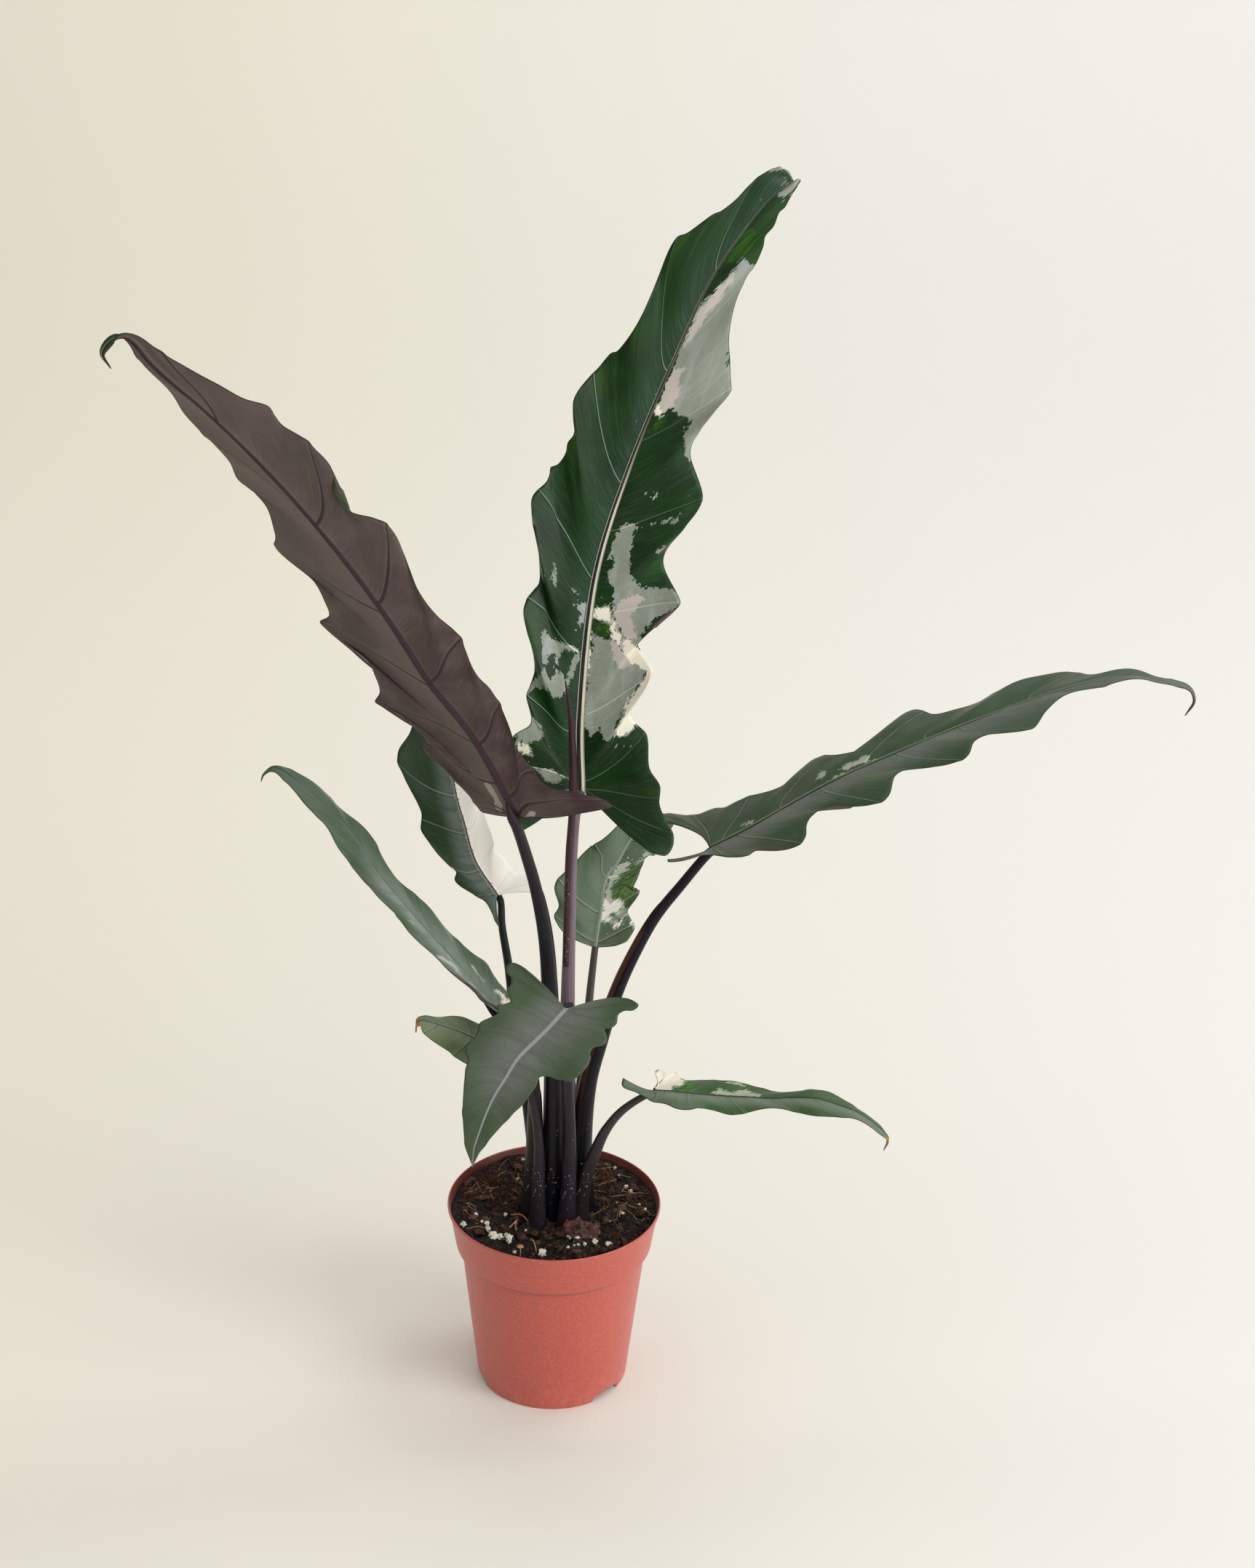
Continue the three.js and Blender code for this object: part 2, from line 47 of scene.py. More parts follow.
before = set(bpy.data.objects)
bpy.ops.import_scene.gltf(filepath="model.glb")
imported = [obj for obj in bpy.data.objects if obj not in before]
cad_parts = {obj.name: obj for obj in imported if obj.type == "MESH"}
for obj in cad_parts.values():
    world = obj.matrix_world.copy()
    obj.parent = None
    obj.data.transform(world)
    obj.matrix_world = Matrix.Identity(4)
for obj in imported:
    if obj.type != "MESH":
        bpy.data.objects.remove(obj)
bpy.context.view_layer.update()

# A millimetre in metres, the centimetre of the blades' fields in millimetres, and how close two points
# are to become one, in metres
MM = 0.001
CM = 10
MERGE = 1e-6
BODY = "root"

# The pot's profile as (radius, height), like the CAD part's with a finer lip. The notches in its foot
# are given by their centers and half width in degrees, and the foot by its inner radius and its top.
POT_PROFILE = (
    (0, 0), (13, 0), (14.5, 4), (40.8, 4), (40.8, 0), (42.4, 0), (42.8, 0.5), (52.04, 84),
    (52.3, 85.5), (54.8, 85.9), (55.3, 87.2), (58.8, 108.6), (59.8, 109.2), (60, 110.8),
    (59.8, 111.7), (59.5, 112), (59.1, 111.7), (58.8, 110.6), (58.1, 108.2), (57.8, 106.6),
    (53.9, 88), (50.74, 84.5), (42.12, 5.6), (13.4, 5.6), (12, 1.6), (0, 1.6),
)
NOTCH = dict(half=12.5, height=3.6, turns=(-42, 78, 198))
FOOT = dict(radius=38, top=3.9)

# The mix: the CAD part's top and the radius there, then the loose top's own radius and its rise at the
# wall, and the sides below it as (radius, height)
SOIL_TOP = 104
SOIL_EDGE = 55.6
TOP_EDGE = 57.6
TOP_UP = 3.0
SOIL_SKIRT = ((56.8, 104), (56.1, 100.6), (54, 90), (50.3, 84), (42.2, 7), (0, 7))

# The part of the margin that belongs to the basal lobes, the blade's thickness and the gap under it
LOBE_PART = 0.16
BLADE = 0.8
GAP = 0.3

# The leaves. rib runs from the attachment to the tip, side is the way the right half points, fold the
# angle between the halves, lift and bow raise and bend the basal lobes, wave and beats are the height
# and the number of the ruffles, left and right are margins (out, along), path and radius give the
# stalk, sheath is (top, width, turn).
LEAVES = {
    "tall": dict(
        rib=(
            (11, 10, 363), (10, 20, 405), (16, 38, 472), (33, 52, 530), (57, 62, 591), (74, 68, 628),
            (97, 74, 661), (112, 80, 673), (115, 90, 668),
        ),
        side=((1, 0, 0), (1, 0.15, 0)),
        fold=10, lift=(0, 8), bow=(3, 6), wave=3.5, beats=(7, 7.5),
        left=(
            (32, -21), (40, -6), (41, 12), (36, 29), (26, 36), (28.9, 48), (27.6, 54.5), (26, 62),
            (27.4, 70.5), (30.9, 80.5), (34.6, 91), (34, 97), (31, 102.3), (28.6, 106.5), (30.6, 115),
            (34, 124.3), (38.6, 133), (42.8, 141), (43.3, 145.4), (41, 149.4), (38.7, 153.5),
            (38.5, 158), (39.2, 160.5), (36, 163.2), (34.4, 169.6), (35.4, 175.5), (34.2, 180),
            (35.6, 185.2), (38.6, 191), (41, 196), (40.8, 201.5), (38.6, 207.8), (35.3, 214.6),
            (33.4, 221), (32, 225), (29.6, 227), (28, 233), (26.4, 244), (25.5, 256), (25.5, 268),
            (28, 286), (24.5, 292.5), (19.5, 305.5), (16.4, 310), (13.6, 318.5), (13, 326.5),
            (12.3, 333.5), (11, 339), (9, 343.5), (6.5, 347), (4, 350.5), (2, 353.5),
        ),
        right=(
            (41, -31.5), (46, -32.5), (49.5, -28), (49.5, -22), (45.5, -15), (42, -5), (42.5, 4),
            (37, 13), (36, 30), (27, 42), (33, 56), (36, 69), (27, 83), (38, 98), (46, 110), (33, 132),
            (38, 155), (41, 173), (27.5, 192), (26.6, 205), (29.5, 218), (33.6, 229), (32.8, 234),
            (27.2, 245), (22, 254), (19, 262), (16.8, 271.5), (15.8, 281), (15.2, 290), (15.4, 298),
            (12.8, 308), (10.2, 313), (10.3, 320), (7.9, 327.5), (7.8, 333), (5, 341),
        ),
        path=(
            (8, 3, 86), (6.8, 3, 180), (6.4, 4, 236), (6.6, 6, 273), (7.2, 8, 316), (8.6, 9.5, 345),
        ),
        radius=(5.4, 2), sheath=(328, 2.6, 190),
    ),
    "left": dict(
        rib=(
            (-21, -30, 365), (-41, -48, 415), (-64, -62, 454), (-86, -78, 499), (-114, -96, 547),
            (-139, -112, 584), (-159, -124, 610), (-179, -134, 632), (-188, -140, 646),
            (-193, -143, 649), (-199, -142, 645), (-202, -139, 639), (-199, -136, 632),
        ),
        side=((-0.8, 0.45, -0.3), (-0.8, 0.45, -0.3)),
        fold=10, lift=(0, 15), bow=(3, 0), wave=3.5, beats=(8, 7),
        left=(
            (53, -1), (47, 8), (38, 15), (24, 21), (20, 34), (19, 50), (23, 65), (26, 86), (26, 99),
            (29, 126), (24.5, 143), (25, 163), (29, 183), (33, 200), (30.5, 211), (22.5, 221),
            (22.5, 231), (28, 240), (30.5, 249), (29.4, 263), (24.5, 273), (25, 280), (26.5, 286),
            (21.5, 295), (18, 306), (13.5, 318), (7, 342), (3.5, 356),
        ),
        right=(
            (30, -8), (30, 8), (36, 24), (45, 38), (37, 51), (38, 66), (41, 77.5), (53, 84), (43, 93),
            (36.5, 103), (33, 116), (43, 127), (52, 137.5), (41, 146), (36, 157), (33, 172), (40, 185),
            (43, 196), (33.5, 208), (24, 225), (24, 236), (27.5, 247), (20, 261), (17.2, 274),
            (18, 285), (16.8, 298.8), (7.6, 317.6), (4, 344),
        ),
        path=(
            (-2, -3, 86), (-1.5, -5, 187), (-3.3, -10, 235), (-5.9, -15, 282), (-11, -20, 317),
            (-17, -25, 343),
        ),
        radius=(6, 2.8), sheath=(316, 2, 10),
    ),
    "right": dict(
        rib=(
            (81, 22, 325), (103, 24, 337), (142, 28, 361), (181, 32, 380), (220, 36, 397),
            (259, 40, 412), (298, 44, 422), (318, 46, 419), (333, 47, 415), (338, 47, 407),
            (334, 47, 398),
        ),
        side=((0, -1, -0.17), (0, -1, -0.17)),
        fold=1, lift=(4, 16), bow=(-3, 0), wave=3, beats=(6, 6.5),
        left=(
            (38.5, -22), (43.5, -21), (44.5, -17), (41.5, -12), (36.5, -4), (35, 4.5), (32.5, 9.5),
            (27, 14.5), (25.5, 21), (24, 32), (23, 47), (28, 68), (18, 84), (18, 98), (29, 116),
            (29, 130), (19, 139), (19, 153), (17, 172), (18, 195), (18, 213), (5, 227), (4, 250),
            (3, 272),
        ),
        right=(
            (12, -21.5), (13.6, -21.6), (13.2, -17.5), (11.3, -11.7), (11.5, -5.9), (15.3, 1),
            (25, 10.5), (30.6, 17), (31.6, 20), (29.6, 22.6), (28.6, 26), (31, 31), (36.5, 39),
            (38.5, 46), (36, 51), (29, 54), (25, 59), (24, 70), (38, 97), (23, 108), (22, 120),
            (31, 144), (22, 153), (20, 165), (24, 183), (16, 194), (7, 212), (5, 228), (5, 250),
            (4, 272),
        ),
        path=(
            (17, 2, 86), (15.4, 2, 142), (18, 4, 184), (24.5, 7, 212), (31.5, 10, 237), (39.5, 13, 258),
            (52, 17, 283), (66.5, 20, 303),
        ),
        radius=(5.6, 2.4), sheath=(290, 2.6, 200),
    ),
    "slender": dict(
        rib=(
            (-29, -20, 243), (-51, -16, 267), (-74, -12, 293), (-97, -8, 321), (-110, -4, 341),
            (-131, 0, 361), (-148, 4, 373), (-156, 5, 370), (-158, 5, 365),
        ),
        side=((0, 1, 0.08), (0, 1, 0.08)),
        fold=3, lift=(4, 4), bow=(0, 0), wave=2, beats=(4, 4.5),
        left=(
            (8, -14), (8, -3), (6, 8), (7, 20), (15, 34), (18, 43), (14, 58), (20, 81), (25, 95),
            (22, 107), (27, 129), (23, 141), (17, 153), (9, 164), (5, 178),
        ),
        right=(
            (17, -14), (21, -5), (22, 5), (20, 13), (22, 22), (20, 31), (23, 48), (16, 74), (18, 98),
            (15, 122), (14, 140), (10, 158), (6, 174),
        ),
        path=(
            (-13, -2, 86), (-12, -3, 120), (-11.5, -7, 160), (-12, -12, 199), (-18, -17, 226),
        ),
        radius=(5.4, 2), sheath=(190, 1.6, 20),
    ),
    "front": dict(
        rib=(
            (6, -42, 259), (-5, -50, 249), (-18, -58, 238), (-25, -64, 228), (-31, -69, 219),
            (-36, -75, 208), (-40, -80, 196), (-41, -84, 186),
        ),
        side=((-0.8, 0.37, 0.33), (-0.85, 0.3, 0.2)),
        fold=6, lift=(2, 2), bow=(7, 1), wave=1.2, beats=(3, 3),
        left=(
            (24.5, -25.5), (28.5, -26), (28.5, -22), (25, -19), (23.6, -15), (26, -11.3), (25.5, -7.5),
            (23.2, -5.2), (26.8, -3.2), (28.8, -0.5), (28, 3), (26, 6.5), (26.4, 9.5), (29, 12),
            (30.5, 16), (30.5, 21), (29, 25.5), (26, 27.5), (23.5, 30), (19, 32.6), (15.8, 37.5),
            (16.3, 44.6), (15.6, 57), (11, 70.5), (7, 81), (3.5, 90.5),
        ),
        right=(
            (33, -0.5), (37, 1), (38.8, 4), (36.5, 6.6), (32.6, 7), (30.6, 10), (30.4, 13.5),
            (27, 15.6), (24, 18), (25, 22), (27.5, 25.5), (24.5, 28), (25.8, 31.5), (28, 35.5),
            (25.6, 38), (25.8, 41), (27, 44.5), (25.5, 47.8), (22.5, 51), (19.5, 57), (16, 64),
            (12, 74.5), (6.5, 86), (3, 93),
        ),
        path=((6, -14, 88), (8.5, -14, 128), (8.8, -18, 166), (8, -24, 197), (7.2, -32, 228)),
        radius=(3.8, 1.7), sheath=(160, 1, 180),
    ),
    "low": dict(
        rib=(
            (54, -25, 200), (66, -26, 200), (84, -27, 199), (99, -28, 199), (115, -29, 199),
            (131, -31, 201), (142, -33, 202), (152, -35, 200), (163, -37, 197), (173, -39, 191),
            (180, -40, 184), (181, -41, 181), (179, -42, 176),
        ),
        side=((0, -1, 0), (0, -1, -0.1)),
        fold=4, lift=(4, 8), bow=(-2.5, 0), wave=1.5, beats=(3, 3.5),
        left=(
            (8.6, -0.4), (11.5, 0.2), (13.6, 1.5), (14.4, 3.6), (13, 6.8), (14.8, 8), (17.4, 9.1),
            (17.9, 11), (15.4, 13), (13.9, 16.5), (14.4, 21), (14.6, 26), (12.9, 34), (12, 45.5),
            (10.1, 58.7), (7, 72), (6, 86), (7, 96), (5, 110), (4, 124),
        ),
        right=(
            (4, -16.5), (7.5, -16.8), (9.5, -14.5), (8.5, -10), (10.5, -4.5), (14, 1), (16, 7),
            (21, 12.5), (22, 17), (19.5, 21), (15.6, 25.5), (14.5, 33), (18, 43), (16, 52), (12, 66),
            (13, 79), (16, 91), (13, 102), (9, 114), (5, 126),
        ),
        path=(
            (13.5, -9, 88), (14.8, -9, 110), (17, -11, 131), (23.5, -14, 155), (29.5, -18, 172),
            (38, -22, 186),
        ),
        radius=(4, 1.5), sheath=(172, 1.5, 170),
    ),
    "cream": dict(
        rib=(
            (-35, 50, 278), (-48, 60, 294), (-55, 70, 313), (-60, 78, 327), (-63, 88, 345),
            (-61, 98, 365), (-57, 105, 381), (-51, 110, 387),
        ),
        side=((1, 0, 0), (1, 0.2, 0)),
        fold=8, lift=(0, 0), bow=(0, 0), wave=2, beats=(3.5, 3),
        left=(
            (9, -16), (8, -7), (8, 3), (15, 18), (12, 23), (19, 34), (24, 48), (21, 57), (27, 74),
            (30, 84), (24, 94), (22, 108), (16, 124),
        ),
        right=(
            (21, -12), (22, -2), (15, 5), (15, 16), (12, 24), (14, 34), (13, 48), (16, 62), (22, 76),
            (28, 90), (28, 103), (23, 114), (13, 126),
        ),
        path=(
            (-6, 9, 86), (-8, 9, 112), (-16.3, 18, 170), (-24, 29, 212), (-28, 38, 240), (-32, 45, 261),
        ),
        radius=(4.6, 1.8), sheath=(180, 1.2, 0),
    ),
    "rear": dict(
        rib=(
            (20, 40, 253), (22, 48, 267), (25, 58, 286), (31, 62, 294), (39, 68, 307), (49, 72, 313),
            (63, 74, 315),
        ),
        side=((1, 0, 0), (0.8, 0, -0.5)),
        fold=10, lift=(0, 0), bow=(0, 0), wave=2, beats=(3, 3.5),
        left=(
            (14, 3), (21, 7), (25, 13), (24, 20), (28, 29), (25, 35), (19, 41), (17, 51), (12, 63),
            (10, 75), (6, 85),
        ),
        right=(
            (13, 3), (18, 7), (20, 14), (15, 22), (19, 31), (19, 39), (14, 48), (12, 58), (16, 68),
            (11, 82),
        ),
        path=((3, 14, 86), (8, 14, 120), (13.2, 19, 170), (16, 27, 201), (17.5, 33, 226)),
        radius=(4.2, 1.7), sheath=(170, 1, 180),
    ),
    "small": dict(
        rib=(
            (-28, -18, 218), (-43, -20, 227), (-54, -20, 232), (-65, -22, 237), (-73, -23, 239),
            (-75, -24, 236), (-75, -24, 232),
        ),
        side=((0, 1, 0.35), (0, 1, 0.35)),
        fold=-5, lift=(0, 0), bow=(0, 0), wave=1, beats=(2, 2),
        left=((8, -9), (13, 1), (17, 10), (19, 19), (17, 28), (13, 38), (8, 47)),
        right=((9, -8), (13, 0), (12, 10), (11, 20), (11, 30), (7, 38), (4, 46)),
        path=((-9, -13, 88), (-8.5, -13, 120), (-9, -14, 164), (-16, -16, 200)),
        radius=(3.4, 1.4), sheath=(150, 0.8, 180),
    ),
}

# Side veins of each half, as places along the margin's scale at the midrib, half-way out and at the
# margin
COMMON_VEINS = (
    (0.08, 0.05, 0.03), (0.2, 0.16, 0.13), (0.35, 0.31, 0.27), (0.5, 0.475, 0.45), (0.63, 0.62, 0.615),
    (0.75, 0.76, 0.775), (0.87, 0.885, 0.905),
)
VEINS = {
    "tall": (
        ((0.08, 0.04, 0.03), (0.2, 0.13, 0.1), (0.301, 0.24, 0.194), (0.419, 0.38, 0.32),
         (0.515, 0.5, 0.455), (0.633, 0.627, 0.625), (0.762, 0.77, 0.82), (0.87, 0.89, 0.93)),
        ((0.05, 0.039, 0.042), (0.112, 0.093, 0.088), (0.19, 0.169, 0.174),
         (0.329, 0.291, 0.266), (0.475, 0.435, 0.388), (0.577, 0.564, 0.544),
         (0.683, 0.693, 0.699), (0.79, 0.804, 0.829), (0.89, 0.91, 0.94)),
    ),
    "left": (
        ((0.142, 0.1, 0.016), (0.244, 0.18, 0.118), (0.365, 0.31, 0.232), (0.485, 0.43, 0.355),
         (0.605, 0.575, 0.55), (0.715, 0.703, 0.703), (0.85, 0.87, 0.9)),
        ((0.06, 0.03, 0.02), (0.16, 0.09, 0.06), (0.279, 0.2, 0.128), (0.365, 0.325, 0.247),
         (0.475, 0.455, 0.408), (0.591, 0.575, 0.568), (0.729, 0.765, 0.775), (0.86, 0.885, 0.91)),
    ),
    "right": (
        ((0.1, 0.078, 0.07), (0.212, 0.191, 0.179), (0.365, 0.324, 0.321), (0.521, 0.503, 0.513),
         (0.621, 0.592, 0.626), (0.76, 0.753, 0.771), (0.88, 0.901, 0.921)),
        ((0.08, 0.046, 0.021), (0.17, 0.127, 0.104), (0.257, 0.244, 0.225),
         (0.443, 0.413, 0.387), (0.569, 0.557, 0.548), (0.663, 0.661, 0.676),
         (0.78, 0.791, 0.812), (0.89, 0.91, 0.93)),
    ),
    "small": (((0.08, 0.05, 0.03), (0.3, 0.25, 0.22), (0.55, 0.53, 0.52), (0.8, 0.81, 0.83)),) * 2,
    "rear": (((0.08, 0.05, 0.03), (0.22, 0.18, 0.15), (0.42, 0.39, 0.36), (0.6, 0.59, 0.58),
              (0.8, 0.81, 0.83)),) * 2,
}

# Pale patches of each leaf as flat outlines (out, along), to the left of the midrib when out is
# negative. The islands are cut out of the patches again.
PATCHES = {
    "tall": dict(
        sage=(
            ((0, 263), (5, 276), (8, 297), (15, 297), (24, 281), (24, 261), (25, 245), (36, 233),
             (37, 228), (32, 209), (32, 198), (32, 187), (25, 190), (20, 201), (21, 209), (14, 209),
             (9, 211), (7, 206), (2, 204), (1, 229)),
            ((5, 138), (8, 145), (13, 148), (15, 145), (14, 142), (16, 125), (19, 118), (25, 113),
             (46, 117), (48, 111), (44, 105), (35, 97), (29, 88), (27, 76), (19, 83), (16, 90),
             (12, 95), (12, 104), (6, 114), (5, 130)),
            ((4, 84), (9, 82), (15, 82), (21, 75), (25, 70), (35, 69), (31, 61), (26, 54), (22, 44),
             (19, 33), (17, 26), (13, 28), (11, 34), (6, 29), (4, 31), (2, 36), (3, 71)),
            ((-23, 84), (-17, 79), (-3, 75), (-2, 71), (-4, 65), (-8, 52), (-14, 48), (-20, 54),
             (-30, 50), (-25, 58), (-21, 64), (-24, 78)),
            ((-9, 98), (-2, 99), (0, 93), (-3, 87), (-5, 89), (-4, 94)),
            ((-24, 118), (-21, 114), (-20, 106), (-22, 108)),
            ((-11, 106), (-7, 104), (-7, 102), (-9, 104)),
            ((-38, 30), (-28, 35), (-26, 39), (-22, 35), (-19, 30), (-22, 27), (-30, 27)),
            ((-24, 13), (-15, 12), (-9, 7), (-13, 4), (-18, 5)),
            ((28, 155), (34, 160), (33, 156), (31, 154)),
            ((20.5, 149), (24, 152), (28, 154), (25, 151)),
            ((28, 134), (27, 138), (31, 140), (31, 136)),
            ((0.3, 333), (0.3, 345), (3, 347), (5, 340), (4, 335)),
            ((-11.5, 335.6), (-9.5, 339.5), (-5, 345.5), (-1, 345.6), (-1, 356), (-8, 354),
             (-15, 342)),
        ),
        cream=(
            ((3, 93), (3, 97), (7, 97.5), (10, 99), (13, 93), (17, 85), (20, 82), (17, 80.5),
             (13.5, 84), (11, 91)),
            ((19, 84), (23, 83), (28, 78), (40, 74), (42, 60), (36, 45), (31, 38), (24, 30), (18, 30),
             (22, 39), (24, 48), (27, 53), (33, 62), (34, 68), (26, 70), (21, 75)),
            ((-33, 27), (-28, 25), (-26, 21), (-33, 22)),
            ((17, 164), (17.8, 164.8), (17.6, 163.8)),
            ((1.5, 205), (2, 209), (6, 207), (5, 204)),
            ((1.2, 86), (1.6, 80), (3.4, 70), (2.6, 62), (1.4, 70)),
        ),
        lime=(
            # The first lime patch, near the tip, is partly painted light: a brighter green where light
            # shines through
            ((0, 310), (4, 312), (10, 313.5), (11, 308.5), (9.9, 303.5), (8, 297.5), (4.8, 292),
             (0.4, 291)),
            ((8, 207), (8, 201), (5, 195), (2, 193), (4, 200)),
            ((4, 90), (8, 88), (10, 94), (13, 91), (13, 84), (9, 82), (5, 85)),
        ),
        blush=(
            ((1, 229), (8, 233), (7, 226), (9, 222), (9, 212), (7, 206), (2, 204), (1, 214)),
            ((7, 289), (7, 281), (5, 278), (4.5, 272), (2, 266.5), (1.8, 261), (1.2, 254),
             (2, 242), (4.4, 248), (5.6, 257), (8, 265.5), (9.2, 276), (10, 284)),
            ((12, 96), (16, 104), (25, 109), (28, 107), (22, 96), (25, 89), (28, 83), (20, 84),
             (15, 90)),
            ((13, 83), (20, 81), (26, 76), (24, 68), (20, 66), (16, 71)),
        ),
        islands=(
            ((6, 126), (9, 123), (5, 115), (11, 109), (11, 103), (7, 98), (4, 99), (4, 124)),
            ((4, 90), (8, 88), (10, 94), (13, 91), (13, 84), (9, 82), (5, 85)),
            ((-20, 70), (-17, 72), (-15, 71), (-15, 63), (-17, 57), (-20, 63)),
            ((-12, 74), (-4, 73), (-7, 66), (-9, 59), (-13, 62), (-14, 66)),
        ),
    ),
    "left": dict(cream=(
        ((9.5, 23.7), (7.6, 24.2), (6.6, 19), (6.8, 13), (8.4, 12), (9.5, 17)),
        ((6.8, 13), (6.4, 8.8), (8.9, 3.5), (10.6, 4.3), (10.1, 7.7)),
        ((-2.2, -1.7), (1.5, -8), (-0.1, -9), (-5, -4.6), (-10.3, 2), (-9.3, 2.7), (-5, -1)),
    )),
    "right": dict(sage=(
        ((-7, 81), (-9, 86), (-7, 92), (-10, 95), (-8, 98), (-5, 98), (-1, 96), (-4, 93), (-4, 88),
         (-3, 85)),
        ((-0.6, 98), (-2, 98), (-1.6, 101), (-0.4, 101)),
        ((-0.8, 72), (-2, 75), (-3.4, 79), (-2.6, 84), (-1, 88), (-0.4, 81)),
        ((-9, 67), (-11, 70), (-13, 71), (-13, 72), (-11, 73), (-8, 74), (-6, 71)),
        ((-6, 20), (-6, 23), (-4, 26), (-3, 27), (-2, 26), (-3, 23), (-4, 20)),
    )),
    "slender": dict(
        sage=(
            ((-13.6, 51), (-7.6, 46), (-3.3, 36.6), (-4.2, 30.7), (-6.4, 34), (-7.4, 40), (-13, 48.6)),
            ((-2.4, 47), (-1.6, 46), (-0.8, 41), (-1.6, 41)),
            ((13.6, 31), (14.4, 31), (11, 24), (9, 18), (8, 18), (9.6, 24)),
            ((-4, 27), (-3, 26), (-3, 20), (-4.4, 21)),
            ((-12, 75), (-10, 73.5), (-7, 70), (-9, 71)),
        ),
        cream=(
            ((10.3, 9.3), (14, 7.6), (15.9, 3.3), (14.3, 0.7), (17.9, -2.8), (10.3, -0.5), (7.7, 2.6),
             (12, 3), (13, 5)),
        ),
    ),
    "low": dict(
        sage=(
            ((-0.5, 31), (-6, 35), (-4, 41), (-4, 44), (-8, 50), (-6, 53), (-3, 58), (-0.5, 57)),
            ((-11, 39), (-11.4, 45), (-10, 49), (-9.4, 44), (-10, 40)),
        ),
        cream=(((-16, 2), (-20, 6), (-20, 12), (-14, 14), (-13, 16), (-7, 15), (-5, 10), (-0.5, 8),
                (-0.5, 0), (-9, 0)),),
        lime=(((-13, 15), (-14, 19), (-4, 23), (-0.5, 20), (-0.5, 10), (-4, 11), (-7, 15)),),
    ),
    "cream": dict(cream=(((0.5, -30), (0.5, 145), (50, 145), (50, -30)),)),
    "rear": dict(
        sage=(
            ((1, 48), (5, 53), (6, 51), (6, 48), (2, 43), (1, 45)),
            ((1, 41), (5, 48), (7, 49), (5, 46), (6, 44), (5, 38), (4, 33), (5, 28), (7, 26),
             (5, 25), (2, 26), (1, 29), (2, 34), (2, 38)),
            ((10, 22), (13, 23), (15, 23), (15, 21), (16, 20), (12, 18), (10, 17)),
            ((9, 53), (11, 59), (10, 63), (16, 69), (13, 61), (12, 57), (10, 54)),
        ),
        cream=(
            ((1, 26), (3, 26), (5, 25), (7, 26), (10, 27), (12, 25), (10, 23), (10, 19), (9, 18),
             (8, 21), (5, 20), (4, 18), (6, 17), (7, 15), (5, 15), (1, 15), (1, 19), (3, 21),
             (1, 23)),
            ((8, 15), (11, 15), (12, 16), (12, 14), (9, 12)),
            ((18, 17), (21, 16), (21, 14), (18, 15)),
        ),
        lime=(((5, 47), (10, 53), (14, 47), (19, 39), (17, 29), (14, 23), (11, 26), (7, 26),
               (5, 30), (5, 35), (7, 44)),),
    ),
    "small": dict(sage=(((5, 21), (7, 19), (8, 15), (6, 15), (4, 18)),)),
}


# Settings that a user would change

def tint(red, green, blue):
    """A colour as seen on screen, 0 to 255, as linear light."""
    return tuple(((c / 255 + 0.055) / 1.055) ** 2.4 if c > 10 else c / 3294.6
                 for c in (red, green, blue))


def colour(name, description, *seen):
    return FloatVectorProperty(name=name, description=description, subtype="COLOR", size=3, min=0,
                               max=1, default=tint(*seen))


def distance(name, description, millimetres):
    return FloatProperty(name=name, description=description, unit="LENGTH", min=0,
                         default=millimetres * MM)


def fraction(name, description, part):
    return FloatProperty(name=name, description=description, subtype="FACTOR", min=0, max=1,
                         default=part)


def power(name, description, watts):
    return FloatProperty(name=name, description=description, unit="POWER", min=0, default=watts)


def number(name, description, many, least=0):
    return IntProperty(name=name, description=description, min=least, default=many)


class FoliageSettings(PropertyGroup):
    green: colour("Green", "The blade's upper side", 16, 51, 10)
    second: colour("Second green", "A deeper green that drifts into the first", 15, 41, 12)
    # Partly the blade's own grey-green bloom, partly painted sheen where light glances off the blade
    bloom_and_sheen: colour("Bloom", "The hazy blue-grey near the midrib and the margin", 54, 80, 68)
    fine: colour("Fine lines", "The fine lines between the side veins", 66, 92, 68)
    lime: colour("Lime", "Young green near pale patches and edges", 44, 84, 12)
    sage: colour("Sage", "The half-pale patches", 140, 148, 136)
    sage_shade: colour("Sage shade", "The darker parts of the half-pale patches", 124, 134, 116)
    blush: colour("Blush", "The pinkish part of the pale patches", 190, 182, 174)
    cream: colour("Cream", "Patches without any green", 238, 232, 214)
    vein: colour("Side veins", "Side veins on the green", 104, 128, 104)
    rib: colour("Midrib", "The pale side of the midrib", 222, 214, 196)
    hem: colour("Hem", "The fine dark line round the margin", 46, 26, 22)
    reverse: colour("Underside", "The blade's purple-brown underside", 88, 76, 73)
    # A paler drift of the underside's own colour, and painted sheen near the midrib of one half
    reverse_bloom_and_sheen: colour("Underside bloom", "A paler drift on the underside", 112, 99, 95)
    reverse_vein: colour("Underside veins", "Side veins below", 48, 34, 38)
    reverse_rib: colour("Underside midrib", "The midrib below", 52, 26, 38)
    vein_width: distance("Vein width", "Half the width of a side vein near the midrib", 0.5)
    pillow: distance("Pillow", "How far the blade rises between two side veins", 0.9)


class StalkSettings(PropertyGroup):
    dark: colour("Dark", "The stalks' near-black purple", 13, 10, 18)
    # Partly the stalks' own streaks, partly painted satin highlights
    streak: colour("Streak", "Lighter streaks along the stalks", 44, 38, 56)
    sheath: colour("Sheath", "The drier brown edges of the sheaths", 76, 44, 34)
    young: colour("New leaf", "The rolled leaf", 58, 36, 40)
    dust: fraction("Dust", "Strength of the pale specks on the stalk's foot", 0.75)


class PotSettings(PropertyGroup):
    clay: colour("Clay red", "The pot's plastic", 187, 79, 65)
    dark_speck: colour("Dark specks", "Dark grains in the plastic", 156, 66, 56)
    pale_speck: colour("Pale specks", "Pale grains in the plastic", 206, 112, 98)
    roughness: fraction("Roughness", "How matt the pot is", 0.42)
    sides: number("Sides", "Steps round the pot", 192, 24)


